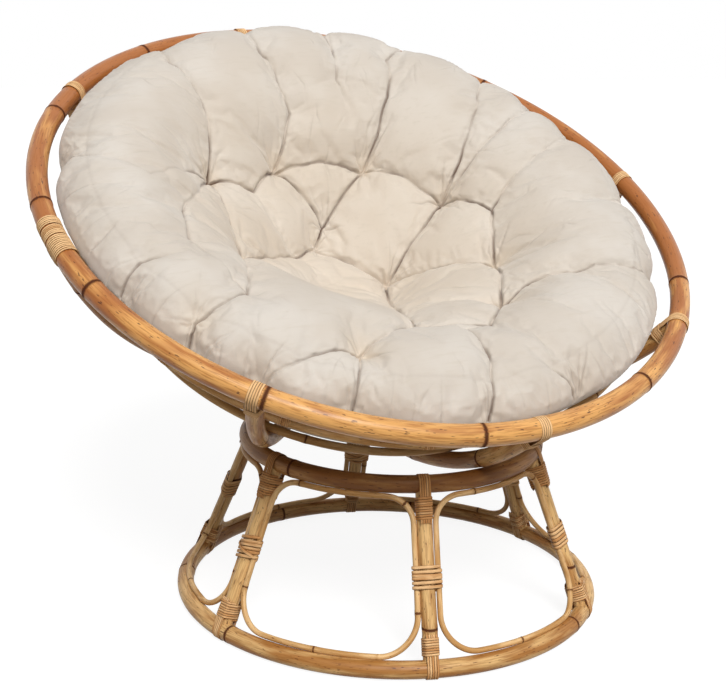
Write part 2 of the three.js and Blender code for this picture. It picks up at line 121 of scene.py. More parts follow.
def caneMaterial(name, look):
    material, tree = newMaterial(name)
    add = partial(addNode, tree)
    place = add("ShaderNodeAttribute", attribute_name="grain").outputs["Vector"]
    knuckle, tone, side = (
        add("ShaderNodeAttribute", attribute_name=title).outputs["Fac"]
        for title in ("knuckle", "tone", "side"))
    noises = []
    for title, stretch, detail in caneGrain["noises"]:
        # Noise drawn out along the pole, as wide across it as the look says in millimetres.
        drawn = add("ShaderNodeVectorMath", [place, (1, 1, 1 / stretch)], operation="MULTIPLY")
        inputs = {"Vector": drawn, "Scale": 1 / (look[title] * mm), "Detail": detail}
        noises.append(add("ShaderNodeTexNoise", inputs))
    fibres, clouds, flecks = noises
    light = add("ShaderNodeMapRange", [clouds, 0.3, 0.7], **eased)
    light = add("ShaderNodeMath", [tone, look["toneSpread"], light], operation="MULTIPLY_ADD")
    light = add("ShaderNodeMapRange", [light, 0, 1], **eased)
    streaks = add("ShaderNodeMapRange", [fibres, 0.45, 0.66, 0, look["streaks"]], **eased)
    fleckStart, fleckShare = look["fleckStart"], caneGrain["fleckShare"]
    marks = add("ShaderNodeMapRange", [flecks, fleckStart, fleckStart + 0.06, 0, fleckShare], **eased)
    smearReach = look["smear"] * mm
    smear = add("ShaderNodeMapRange", [knuckle, 1 * mm, smearReach, caneGrain["smearShare"], 0], **eased)
    broken = add("ShaderNodeMapRange", [fibres, 0.35, 0.6], **eased)
    smear = add("ShaderNodeMath", [smear, broken], operation="MULTIPLY")
    # The knuckle's dark ring has a ragged edge, no varnish and a duller surface.
    ragged, ring = caneGrain["ragged"] * mm, look["ring"] * mm
    away = add("ShaderNodeMath", [fibres, ragged, knuckle], operation="MULTIPLY_ADD")
    inputs = [away, ring / 4 + ragged / 2, ring + ragged / 2, caneGrain["ringShare"], 0]
    line = add("ShaderNodeMapRange", inputs, **eased)
    # Painted shade: darker towards the sides of the section, where strands meet, for the gaps between them.
    edge = add("ShaderNodeMapRange", [side, caneGrain["edgeShadeStart"], 1, 0, look["edge"]], **eased)
    body = colour(look["dark"])
    for share, shade in (
        (light, "light"), (streaks, "streak"), (marks, "mark"), (smear, "streak"), (line, "mark"),
        (edge, "mark"),
    ):
        inputs = {0: share, 6: body, 7: colour(look[shade])}
        body = add("ShaderNodeMix", inputs, data_type="RGBA").outputs[2]
    smoothest, roughest = look["roughness"] - 0.06, look["roughness"] + 0.1
    roughness = add("ShaderNodeMapRange", [fibres, 0.2, 0.8, smoothest, roughest], **eased)
    inputs = [line, caneGrain["ringDulls"], roughness]
    roughness = add("ShaderNodeMath", inputs, operation="MULTIPLY_ADD")
    varnish = add("ShaderNodeMapRange", [line, 0, 0.5, look["varnish"], 0], **eased)
    height = add("ShaderNodeMath", [line, -caneGrain["ringDepth"], fibres], operation="MULTIPLY_ADD")
    inputs = {"Height": height, "Distance": look["relief"] * mm, "Strength": caneGrain["bump"]}
    bump = add("ShaderNodeBump", inputs)
    shader = add("ShaderNodeBsdfPrincipled", {
        "Base Color": body, "Roughness": roughness, "Normal": bump, "IOR": 1.5,
        "Specular IOR Level": look["shine"], "Coat Weight": varnish,
        "Coat Roughness": caneGrain["coatRoughness"],
    })
    add("ShaderNodeOutputMaterial", [shader])
    return material


# Manau rattan with its skin on, steamed to shape, sanded and varnished: long fine fibres,
# short dark flecks, and a dark ring at each knuckle.
rattanLook = {
    "dark": "AA743B", "light": "E2B97D", "streak": "88541F", "mark": "4A1E08",
    "fibre": 2.2, "cloud": 14, "fleck": 2.2, "fleckStart": 0.66, "streaks": 0.5, "smear": 16, "ring": 3.4,
    "toneSpread": 0.3, "roughness": 0.45, "varnish": 0.12, "shine": 0.22, "relief": 0.25, "edge": 0,
}
rattan = caneMaterial("varnishedRattanPole", rattanLook)
# The seat ring's pole is darker: partly a darker pole, partly painted shade for the bowl's shadow on it.
darkerAndShadedRattan = caneMaterial("darkerAndShadedRattanPole", {**rattanLook, "dark": "7E4F24", "light": "B38149"})
# The rim is a thicker pole, picked for colour and given more varnish.
rimRattan = caneMaterial("polishedRattanRim", {
    **rattanLook, "dark": "A9662F", "light": "E3A961", "streak": "98571D", "mark": "431A06",
    "cloud": 16, "fleck": 2.4, "fleckStart": 0.67, "streaks": 0.55, "smear": 14, "ring": 4.8,
    "toneSpread": 0.42, "roughness": 0.4, "varnish": 0.35, "shine": 0.25,
})
# Thin whole cane, peeled, lighter and drier than the poles; its lightness is partly its own colour
# and partly painted light, for the cane rings that sit in shade under the rim.
thinCane = caneMaterial("peeledRattanCane", {
    "dark": "C29258", "light": "E8C089", "streak": "A0703A", "mark": "5E3216",
    "fibre": 1.6, "cloud": 10, "fleck": 1.8, "fleckStart": 0.7, "streaks": 0.4, "smear": 8, "ring": 2.2,
    "toneSpread": 0.35, "roughness": 0.48, "varnish": 0.08, "shine": 0.22, "relief": 0.2, "edge": 0,
})
# Binding cane, split from the skin: pale, satin outside, with a fine lengthwise grain, and
# darker at its edges: painted shade in the gaps between strands.
bindingCane = caneMaterial("splitBindingCane", {
    "dark": "C8915A", "light": "F0C590", "streak": "9C6638", "mark": "5E3212",
    "fibre": 0.9, "cloud": 9, "fleck": 1.4, "fleckStart": 0.78, "streaks": 0.4, "smear": 2, "ring": 1,
    "toneSpread": 0.5, "roughness": 0.55, "varnish": 0, "shine": 0.15, "relief": 0.12, "edge": 0.8,
})


def canvasMaterial(look):
    # Unbleached cotton canvas, plain woven and washed: matt, with a faint slub, softly felted,
    # warmer towards the middle and in the tufts' hollows, and painted dark brown along its
    # creases, gathers and seam as painted shade. Its 0.5 mm threads are drawn 2 mm wide,
    # because finer ones don't show.
    material, tree = newMaterial("unbleachedCottonCanvas")
    add = partial(addNode, tree)
    place = add("ShaderNodeTexCoord").outputs["Object"]
    crease, warmth = (
        add("ShaderNodeAttribute", attribute_name=title).outputs["Fac"] for title in ("crease", "warmth"))
    slubs = add("ShaderNodeVectorMath", [place, (look["slubDraw"], 1, 1)], operation="MULTIPLY")
    clouds, slub, weave = (
        add("ShaderNodeTexNoise", {"Vector": vector, "Scale": 1 / (width * mm), "Detail": detail})
        for vector, width, detail in (
            (place, look["cloudWidth"], 3), (slubs, look["slubWidth"], 2), (place, look["thread"], 2)))
    body = colour(look["shade"])
    for share, shade in (
        (add("ShaderNodeMapRange", [clouds, 0.35, 0.65], **eased), "light"),
        (add("ShaderNodeMath", [warmth, look["warmTint"]], operation="MULTIPLY"), "warm"),
        (add("ShaderNodeMapRange", [slub, 0.5, 0.8, 0, look["slubTint"]], **eased), "slub"),
        # Painted shade: the fold colour along the creases, gathers and seam.
        (add("ShaderNodeMath", [crease, look["paintedCreaseShade"]], operation="MULTIPLY"), "fold"),
    ):
        inputs = {0: share, 6: body, 7: colour(look[shade])}
        body = add("ShaderNodeMix", inputs, data_type="RGBA").outputs[2]
    height = add("ShaderNodeMath", [slub, look["slubRelief"], weave], operation="MULTIPLY_ADD")
    inputs = {"Height": height, "Distance": look["relief"] * mm, "Strength": look["bump"]}
    bump = add("ShaderNodeBump", inputs)
    shader = add("ShaderNodeBsdfPrincipled", {
        "Base Color": body, "Roughness": 0.9, "Normal": bump,
        "Sheen Weight": 0.25, "Sheen Roughness": 0.5, "Specular IOR Level": 0.2,
    })
    add("ShaderNodeOutputMaterial", [shader])
    return material


# The fold colour is the dark brown of the painted shade in the cover's creases.
canvas = canvasMaterial({
    "light": "D3CBC1", "shade": "CCC2B6", "warm": "D5C3AB", "slub": "C5BAAA", "fold": "4C2A0B",
    "thread": 2, "slubWidth": 6, "cloudWidth": 1000 / 9, "slubDraw": 0.15,
    "paintedCreaseShade": 0.92, "warmTint": 0.6, "slubTint": 0.35, "slubRelief": 0.6, "relief": 0.5, "bump": 0.35,
})


# Poles and strands follow runs of points. Each point carries the way that its outer side
# faces and how far the pole is swollen there.
def sweepTree():
    tree = bpy.data.node_groups.new("caneAlongRun", "GeometryNodeTree")
    add = partial(addNode, tree)
    for name, kind, given in (
        ("Runs", "Geometry", None), ("Width", "Float", 0.02), ("Thickness", "Float", 0.02),
        ("Flat Back", "Float", 0.0), ("Sides", "Int", 16), ("Material", "Material", None),
    ):
        made = tree.interface.new_socket(name, in_out="INPUT", socket_type="NodeSocket" + kind)
        if given is not None:
            made.default_value = given
    tree.interface.new_socket("Cane", in_out="OUTPUT", socket_type="NodeSocketGeometry")
    given = tree.nodes.new("NodeGroupInput").outputs
    facing, swell, lengthwise, onSection = (
        add("GeometryNodeInputNamedAttribute", {"Name": name}, data_type=kind)
        for name, kind in (
            ("outward", "FLOAT_VECTOR"), ("swell", "FLOAT"), ("lengthwise", "FLOAT"),
            ("section", "FLOAT_VECTOR")))
    runs = add("GeometryNodeMeshToCurve", {"Mesh": given["Runs"]})
    runs = add("GeometryNodeSetCurveNormal", {"Curve": runs, "Normal": facing}, mode="FREE")
    circle = add("GeometryNodeCurvePrimitiveCircle", {"Resolution": given["Sides"], "Radius": 0.5})
    # The section is a circle one across, scaled out to the thickness and across to the width.
    out, across, _ = add("ShaderNodeSeparateXYZ", [add("GeometryNodeInputPosition")]).outputs
    sideways = add("ShaderNodeMath", [across], operation="ABSOLUTE")
    sideways = add("ShaderNodeMath", [sideways, 2.0], operation="MULTIPLY")
    behind = add("ShaderNodeMath", [out, 0.0], operation="MINIMUM")
    flattened = add("ShaderNodeMath", [behind, given["Flat Back"]], operation="MULTIPLY")
    out = add("ShaderNodeMath", [out, flattened], operation="SUBTRACT")
    out = add("ShaderNodeMath", [out, given["Thickness"]], operation="MULTIPLY")
    across = add("ShaderNodeMath", [across, given["Width"]], operation="MULTIPLY")
    shaped = add("ShaderNodeCombineXYZ", [out, across])
    inputs = {"Geometry": circle, "Name": "side", "Value": sideways}
    section = add("GeometryNodeStoreNamedAttribute", inputs, data_type="FLOAT")
    section = add("GeometryNodeSetPosition", {"Geometry": section, "Position": shaped})
    inputs = {"Geometry": section, "Name": "section", "Value": add("GeometryNodeInputPosition")}
    section = add("GeometryNodeStoreNamedAttribute", inputs, data_type="FLOAT_VECTOR")
    inputs = {"Curve": runs, "Profile Curve": section, "Scale": swell, "Fill Caps": True}
    skin = add("GeometryNodeCurveToMesh", inputs)
    lengthOnly = add("ShaderNodeCombineXYZ", {"Z": lengthwise})
    grain = add("ShaderNodeVectorMath", [onSection, lengthOnly], operation="ADD")
    inputs = {"Geometry": skin, "Name": "grain", "Value": grain}
    skin = add("GeometryNodeStoreNamedAttribute", inputs, data_type="FLOAT_VECTOR")
    for name in ("section", "outward", "swell", "lengthwise"):
        skin = add("GeometryNodeRemoveAttribute", {"Geometry": skin, "Name": name})
    for kind in ("GeometryNodeSetShadeSmooth", "GeometryNodeRealizeInstances"):
        skin = add(kind, {"Geometry": skin})
    skin = add("GeometryNodeSetMaterial", {"Geometry": skin, "Material": given["Material"]})
    add("NodeGroupOutput", [skin])
    return tree


caneAlongRun = sweepTree()
carried = ("outward", "swell", "lengthwise", "knuckle", "tone")
hinge = Vector(frame["joints"][0]["pos_m"])
tilt = 27 * degree
frames = {
    "base": Matrix.Translation((0, hinge.y, 0)),
    "bowl": Matrix.Translation(hinge) @ Matrix.Rotation(tilt, 4, "X"),
}


def applyModifiers(holder, everyLayer=False):
    # Leaves the plain mesh that the modifiers make.
    graph = bpy.context.evaluated_depsgraph_get()
    made = bpy.data.meshes.new_from_object(
        holder.evaluated_get(graph), preserve_all_data_layers=everyLayer, depsgraph=graph)
    holder.modifiers.clear()
    holder.data = made


def finished(piece, body, slot, *nodes):
    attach(piece, body)
    if nodes:
        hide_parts(*nodes)


def canePiece(name, body, slot, runs, sizes, *nodes):
    # A piece from runs in millimetres in its body's frame.
    turned, moved = np.array(frames[body].to_3x3()).T, np.array(frames[body].translation)
    edges, first = [], 0
    for run in runs:
        count = len(run["points"])
        links = count if run["closed"] else count - 1
        edges += [(first + at, first + (at + 1) % count) for at in range(links)]
        first += count
    points = np.concatenate([run["points"] for run in runs]) @ turned * mm + moved
    mesh = bpy.data.meshes.new(name)
    mesh.from_pydata(points.tolist(), edges, [])
    for title in carried:
        values = np.concatenate([run[title] for run in runs])
        kind, field = "FLOAT", "value"
        if title == "outward":
            values, kind, field = values @ turned, "FLOAT_VECTOR", "vector"
        mesh.attributes.new(title, kind, "POINT").data.foreach_set(field, values.astype(np.float32).ravel())
    piece = shown(name, mesh)
    modifier = piece.modifiers.new("cane", "NODES")
    modifier.node_group = caneAlongRun
    for item in caneAlongRun.interface.items_tree:
        if item.in_out == "INPUT" and item.name in sizes:
            modifier[item.identifier] = sizes[item.name]
    applyModifiers(piece, everyLayer=True)
    finished(piece, body, slot, *nodes)


def unit(vectors):
    return vectors / np.linalg.norm(vectors, axis=-1, keepdims=True)


def lengthsAlong(points):
    return np.concatenate([[0], np.cumsum(np.linalg.norm(np.diff(points, axis=0), axis=1))])


def resampled(stations, lengths, values):
    return np.stack([np.interp(stations, lengths, values[:, axis]) for axis in range(values.shape[1])], 1)


def waves(stations, length, reach, count, chance):
    # A slow unevenness that meets itself at the end of the length.
    total = np.zeros_like(stations)
    for beat in range(1, count + 1):
        total += np.sin(fullTurn * beat * stations / length + chance.uniform(0, fullTurn)) / beat
    return total * reach / 2


poleGrowth = {"spacing": 330, "step": 3.5, "wobble": 0.5, "swell": 0.045}
caneGrowth = {"spacing": 190, "step": 3, "wobble": 1.3, "swell": 0.1}
growing = {
    "firstKnuckle": (0.2, 0.9), "nextKnuckle": (0.7, 1.25), "lastKnuckle": 20,
    "near": (-7, -4.5, -3, -1.8, -1, -0.4, 0.4, 1, 1.8, 3, 4.5, 7),  # extra points beside a knuckle
    "closest": 0.3, "steadyEnd": 60, "swellWidth": 5, "groove": 0.03, "grooveWidth": 0.9,
    "unevenness": 0.02, "poleLength": 4000, "noKnuckle": 1000,
}


def poleRun(points, facing, closed, grow, chance, knuckles=None):
    # One pole along its path, with knuckles at given lengths or at a chance spacing.
    if closed:
        points, facing = np.vstack([points, points[:1]]), np.vstack([facing, facing[:1]])
    lengths = lengthsAlong(points)
    length = lengths[-1]
    if knuckles is None:
        knuckles = []
        at = chance.uniform(*growing["firstKnuckle"]) * grow["spacing"]
        while at < length - growing["lastKnuckle"]:
            knuckles.append(at)
            at += grow["spacing"] * chance.uniform(*growing["nextKnuckle"])
    knuckles = np.sort(np.array(knuckles))
    even = np.arange(0, length - (grow["step"] if closed else 0), grow["step"])
    beside = (knuckles[:, None] + growing["near"]).ravel()
    stations = np.concatenate([even, [0 if closed else length], beside])
    stations = np.unique(np.clip(stations, 0, length - (0.5 if closed else 0)))
    stations = stations[np.concatenate([[True], np.diff(stations) > growing["closest"]])]
    place = resampled(stations, lengths, points)
    faces = unit(resampled(stations, lengths, facing))
    sideways = unit(np.cross(np.gradient(place, axis=0), faces))
    hold = 1 if closed else np.clip(np.minimum(stations, length - stations) / growing["steadyEnd"], 0, 1)
    for way, beats in ((faces, 5), (sideways, 6)):
        place = place + way * (waves(stations, length, grow["wobble"], beats, chance) * hold)[:, None]
    tones = chance.uniform(-1, 1, len(knuckles) + 1) + grow.get("tone", 0)
    if closed:
        tones[-1] = tones[0]
    gap = np.full_like(stations, growing["noKnuckle"])
    if len(knuckles):
        gap = np.abs(stations[:, None] - knuckles)
        gap = (np.minimum(gap, length - gap) if closed else gap).min(1)
    swell = 1 + grow["swell"] * np.exp(-(gap / growing["swellWidth"]) ** 2)
    swell -= growing["groove"] * np.exp(-(gap / growing["grooveWidth"]) ** 2)
    swell += waves(stations, length, growing["unevenness"], 7, chance)
    return {
        "points": place, "outward": faces, "closed": closed, "swell": swell,
        "lengthwise": (stations + chance.uniform(0, growing["poleLength"])) * mm, "knuckle": gap * mm,
        "tone": tones[np.searchsorted(knuckles, stations)],
    }


def strandRun(points, faces, chance, tone=0.0):
    lengths = lengthsAlong(points)
    whole = np.ones(len(points))
    return {
        "points": points, "outward": faces, "closed": False, "swell": whole, "knuckle": whole,
        "lengthwise": (lengths + chance.uniform(0, growing["poleLength"])) * mm,
        "tone": tone + 0.4 * np.sin(lengths / 60 + chance.uniform(0, fullTurn)),
    }


def hullOutline(circles, spacing, closed=True):
    # A taut strand's way round some circles, as evenly spaced points and the ways they face.
    circles = np.array(circles, float)
    turns = np.linspace(0, fullTurn, 1441)
    faces = np.stack([np.cos(turns), np.sin(turns)], 1)
    nearest = (circles[:, :2] @ faces.T + circles[:, 2:]).argmax(0)
    points = circles[nearest, :2] + circles[nearest, 2:] * faces
    if not closed:
        inside = (turns > 0.002) & (turns < fullTurn - 0.002)
        points, faces = points[inside], faces[inside]
    lengths = lengthsAlong(points)
    count = max(12, round(lengths[-1] / spacing))
    stations = np.linspace(0, lengths[-1], count, endpoint=not closed)
    return resampled(stations, lengths, points), unit(resampled(stations, lengths, faces))


def evenly(outline, count):
    points, faces = (np.vstack([part, part[:1]]) for part in outline)
    lengths = lengthsAlong(points)
    stations = np.linspace(0, lengths[-1], count, endpoint=False)
    return resampled(stations, lengths, points), unit(resampled(stations, lengths, faces))


# Places on the chair.
def outward(turn):
    turn = np.asarray(turn, float)
    return np.stack([np.sin(turn), -np.cos(turn), 0 * turn], -1)


def along(turn):
    turn = np.asarray(turn, float)
    return np.stack([np.cos(turn), np.sin(turn), 0 * turn], -1)


upright = np.array([0.0, 0.0, 1.0])


def jointFrame(origin, ringWay, poleWay):
    # x along the ring, z along the pole and away from the ring, in millimetres.
    return origin, np.stack([ringWay, np.cross(poleWay, ringWay), poleWay])


def placed(joint, runs):
    origin, rows = joint
    for run in runs:
        run["points"] = run["points"] @ rows + origin
        run["outward"] = run["outward"] @ rows
    return runs


def ringPath(radius, height, firstTurn):
    turns = firstTurn + np.linspace(0, fullTurn, 720, endpoint=False)
    return outward(turns) * radius + upright * height, outward(turns)


def straightPath(start, end, facing):
    shares = np.linspace(0, 1, 60)[:, None]
    return start + (end - start) * shares, np.repeat(facing[None], 60, 0)


def roundSizes(pole, sides, material):
    return {"Width": 2 * pole * mm, "Thickness": 2 * pole * mm, "Sides": sides, "Material": material}


lashing = {
    "strandWidth": 3.5, "strandThickness": 1.3, "pitch": 3.7, "strapStrands": 5, "strapGap": 0.1,
    "strapUneven": 0.15, "strapTones": 0.7, "point": 2.6, "strapPoint": 2.5, "corner": 0.5, "flatEnd": 0.4,
    "tieWidth": 5.4, "tieThickness": 2, "tiePitch": 5.8, "tieLoops": 6, "tieUneven": 0.7, "tieSlant": 0.05,
    "crossedSlant": 0.16, "crossSlant": -0.3, "crossStart": -6, "crossPitch": 4,
    "headLoops": 9, "footLoops": 7, "ribLoops": 5, "gap": 2.6,
    "tuck": 0.6, "tuckPoints": 5,  # a winding's ends lie this share of a thickness under its path
}
strandSizes = {
    "Width": lashing["strandWidth"] * mm, "Thickness": lashing["strandThickness"] * mm,
    "Flat Back": 0.5, "Sides": 8, "Material": bindingCane,
}
tieSizes = {
    "Width": lashing["tieWidth"] * mm, "Thickness": lashing["tieThickness"] * mm,
    "Flat Back": 0.2, "Sides": 10, "Material": bindingCane,
}


def wound(near, far, start, pitch, loops, thickness, chance, slant=0.0, unevenness=0.22, tone=0.0):
    # One strand wound round an outline that may change along the winding; its ends are tucked in.
    count = len(near[0])
    steps = np.arange(loops * count + 1)
    share = (steps / steps[-1])[:, None]
    around = steps % count
    place = near[0][around] * (1 - share) + far[0][around] * share
    faces = unit(near[1][around] * (1 - share) + far[1][around] * share)
    tuck = np.clip(np.minimum(steps, steps[-1] - steps) / lashing["tuckPoints"], 0, 1)
    place = place + faces * (thickness * ((0.5 + lashing["tuck"]) * tuck - lashing["tuck"]))[:, None]
    height = start + pitch * (0.5 + steps / count)
    height += slant * place[:, 0]
    loopShift = chance.normal(0, unevenness, loops + 2)
    height += np.interp(steps / count, np.arange(loops + 2), loopShift)
    points = np.column_stack([place, height])
    return strandRun(points, np.column_stack([faces, np.zeros(len(faces))]), chance, tone)


def lashedJoint(joint, ringPole, pole, loops, chance, tone, count=lashing["strapStrands"]):
    # Strap strands over the ring and down both sides of the pole, and a winding over them.
    width, thickness, pitch = lashing["strandWidth"], lashing["strandThickness"], lashing["pitch"]
    start = max(ringPole, pole) + clearance + thickness + lashing["gap"]
    length = start + (loops + 1) * pitch + 2
    side, end = pole + clearance, lashing["flatEnd"]
    circles = [(0, 0, ringPole + clearance), (length, side, end), (length, -side, end)]
    path, faces = hullOutline(circles, lashing["strapPoint"], closed=False)
    strands = []
    for number in range(count):
        shift = (number - (count - 1) / 2) * (width + lashing["strapGap"])
        lift = thickness / 2 - chance.uniform(0, lashing["strapUneven"])
        flat = path + faces * lift
        points = np.column_stack([np.full(len(flat), shift), flat[:, 1], flat[:, 0]])
        facing = np.column_stack([np.zeros(len(flat)), faces[:, 1], faces[:, 0]])
        spread = lashing["strapTones"]
        strands.append(strandRun(points, facing, chance, tone + chance.uniform(-spread, spread)))
    half, corner = count * width / 2, lashing["corner"]
    outlines = []
    for at in np.interp([start, length], [0, length], [ringPole + clearance, side]):
        high = max(at, side) + thickness - corner
        corners = [(hand * half, up * high, corner) for hand in (-1, 1) for up in (-1, 1)]
        outlines.append(hullOutline([(0, 0, side), *corners], lashing["point"]))
    counts = min(len(points) for points, _ in outlines)
    near, far = (evenly(outline, counts) for outline in outlines)
    strands.append(wound(near, far, start, pitch, loops, thickness, chance, tone=tone))
    return placed(joint, strands)


base = {
    "floorRadius": 335, "floorPole": 13.5, "floorHeight": 15.1,
    "seatRadius": 234, "seatPole": 14, "seatHeight": 267,
    "legPole": 11.8, "legs": 6, "firstLeg": -16.8, "legKnuckles": 210, "legTone": 1.5,
    "hoopCane": 4.5, "hoopCorner": 50, "tieShare": 0.48, "tieHeight": 35.4, "crossedTies": [4, 6],
}
legLean = math.atan2(base["floorRadius"] - base["seatRadius"], base["seatHeight"] - base["floorHeight"])
legSpan = (base["seatHeight"] - base["floorHeight"]) / math.cos(legLean)
legSpacing = fullTurn / base["legs"]


def hoopPath(middleTurn):
    # A rounded outline laid out flat on the cone of the legs and wrapped round it.
    low = base["floorPole"] + clearance + base["hoopCane"]
    high = legSpan - base["seatPole"] - clearance - base["hoopCane"]
    gap = base["legPole"] + clearance + base["hoopCane"]
    corner = base["hoopCorner"]
    lean = math.atan(math.sin(legLean) * legSpacing / 2)
    half = []
    for slope, first, last in ((low + corner, -math.pi / 2, lean), (high - corner, lean, math.pi / 2)):
        side = (base["floorRadius"] - slope * math.sin(legLean)) * legSpacing / 2 - gap
        centre = side - corner / math.cos(lean)
        for turn in np.linspace(first, last, 24):
            half.append((centre + corner * math.cos(turn), slope + corner * math.sin(turn)))
    flat = half + [(-x, slope) for x, slope in reversed(half)]
    flat = np.array(flat + flat[:1])
    lengths = lengthsAlong(flat)
    x, slope = resampled(np.arange(0, lengths[-1], 2), lengths, flat).T
    radius = base["floorRadius"] - slope * math.sin(legLean)
    height = base["floorHeight"] + slope * math.cos(legLean)
    ways = outward(middleTurn + x / radius)
    points = ways * radius[:, None] + upright * height[:, None]
    return points, ways * math.cos(legLean) + upright * math.sin(legLean)


def hoopTie(joint, crossed, chance):
    # A winding round a leg and the hoops beside it, on some legs with a strand across it.
    caneAt = base["legPole"] + clearance + base["hoopCane"]
    circles = [(0, 0, base["legPole"] + clearance)]
    circles += [(hand * caneAt, 0, base["hoopCane"] + clearance) for hand in (-1, 1)]
    points, faces = outline = hullOutline(circles, lashing["point"])
    thickness, slope = lashing["tieThickness"], lashing["tieSlant"]
    slant = lashing["crossedSlant"] if crossed else chance.uniform(-slope, slope)
    runs = [wound(outline, outline, -base["tieHeight"] / 2, lashing["tiePitch"], lashing["tieLoops"],
                  thickness, chance, slant, lashing["tieUneven"])]
    if crossed:
        over = points + faces * thickness * 0.7, faces
        start, pitch = lashing["crossStart"], lashing["crossPitch"]
        runs.append(wound(over, over, start, pitch, 1, thickness, chance, lashing["crossSlant"]))
    return placed(joint, runs)


def makeBase():
    firstLeg = base["firstLeg"] * degree
    for name, node, radius, height, pole, material in (
        ("floorRingPole", "floor_ring", base["floorRadius"], base["floorHeight"], base["floorPole"], rattan),
        ("seatRingPole", "seat_ring", base["seatRadius"], base["seatHeight"], base["seatPole"], darkerAndShadedRattan),
    ):
        run = poleRun(*ringPath(radius, height, firstLeg), True, poleGrowth, np.random.default_rng(len(node)))
        canePiece(name, "base", "rattan_pole", [run], roundSizes(pole, 22, material), node)
    legGrowth = {**poleGrowth, "spacing": base["legKnuckles"], "tone": base["legTone"]}
    for number in range(1, base["legs"] + 1):
        turn = firstLeg + (number - 1) * legSpacing
        chance = np.random.default_rng(10 + number)
        foot = outward(turn) * base["floorRadius"] + upright * base["floorHeight"]
        head = outward(turn) * base["seatRadius"] + upright * base["seatHeight"]
        up, ringWay = unit(head - foot), along(turn)
        run = poleRun(*straightPath(foot, head, outward(turn)), False, legGrowth, chance)
        leg, node, sizes = f"leg{number}", f"leg_{number}", roundSizes(base["legPole"], 20, rattan)
        canePiece(leg + "Pole", "base", "rattan_pole", [run], sizes, node)
        for title, part, joint, ringPole, loops, tone in (
            ("FootLashing", "foot", (foot, ringWay, up), base["floorPole"], lashing["footLoops"], 0),
            ("HeadLashing", "head", (head, ringWay, -up), base["seatPole"], lashing["headLoops"], -1),
        ):
            runs = lashedJoint(jointFrame(*joint), ringPole, base["legPole"], loops, chance, tone)
            canePiece(leg + title, "base", "lashing_cane", runs, strandSizes, f"{node}_{part}_lashing")
        joint = jointFrame(foot + (head - foot) * base["tieShare"], ringWay, up)
        runs = hoopTie(joint, number in base["crossedTies"], chance)
        canePiece(leg + "HoopTie", "base", "lashing_cane", runs, tieSizes, node + "_hoop_tie")
        run = poleRun(*hoopPath(turn + legSpacing / 2), True, caneGrowth, chance)
        sizes = roundSizes(base["hoopCane"], 12, thinCane)
        canePiece(f"hoop{number}Cane", "base", "thin_cane", [run], sizes, f"hoop_{number}")
    print("base done")


bowl = {
    "radius": 577, "rimDepth": 221, "rimPole": 16.5, "ribPole": 13.5, "ribs": 8, "firstRib": 3.4,
    "hubRadius": 110, "hubPole": 13.5, "innerCane": 6.5, "upperReach": 58.3, "upperLean": 3,
    "upperLeanTurn": 120, "lowerReach": 42.5, "splicedRib": 7, "splicedStrands": 6, "ribKnuckles": 260,
    "rimKnuckles": [28, 61, 94, 131, 172, 206.5, 237, 265, 287, 320, 353], "rimStart": 2,
    # The rim's tone is painted lighter across its front and darker round the back: painted light and shade.
    "paintedLightTurn": -18, "ownTone": 0.6, "paintedLightTone": 2.3, "paintedShadeTone": -1.45,
    "wrapTurns": [-62, -38, -12, 12, 75, 150, 230], "wrapStart": -10, "wrapPitch": 2.8, "wrapLoops": 7,
    "wrapWidth": 2.6, "wrapThickness": 1, "wrapPoint": 2.2,
    "spliceLoops": (5, 10), "splicePitch": 1.02, "splicePoint": 2.8, "spliceTone": 1.5,
}
rimRadius = math.sqrt(bowl["radius"] ** 2 - bowl["rimDepth"] ** 2)
ribReach = math.atan2(rimRadius, bowl["rimDepth"])
hubReach = math.asin(bowl["hubRadius"] / bowl["radius"])
ribSpacing = fullTurn / bowl["ribs"]
insideRibs = bowl["radius"] - bowl["ribPole"] - clearance


def ringWraps(points, facing, chance):
    # Short windings that hide the joins along a cane ring.
    strands = []
    outline = hullOutline([(0, 0, bowl["innerCane"])], bowl["wrapPoint"])
    for turn in bowl["wrapTurns"]:
        at = round((turn - bowl["firstRib"]) / 360 * len(points)) % len(points)
        way = unit(points[(at + 1) % len(points)] - points[at])
        run = wound(outline, outline, bowl["wrapStart"], bowl["wrapPitch"], bowl["wrapLoops"],
                    bowl["wrapThickness"], chance)
        strands += placed(jointFrame(points[at], facing[at], way), [run])
    return strands


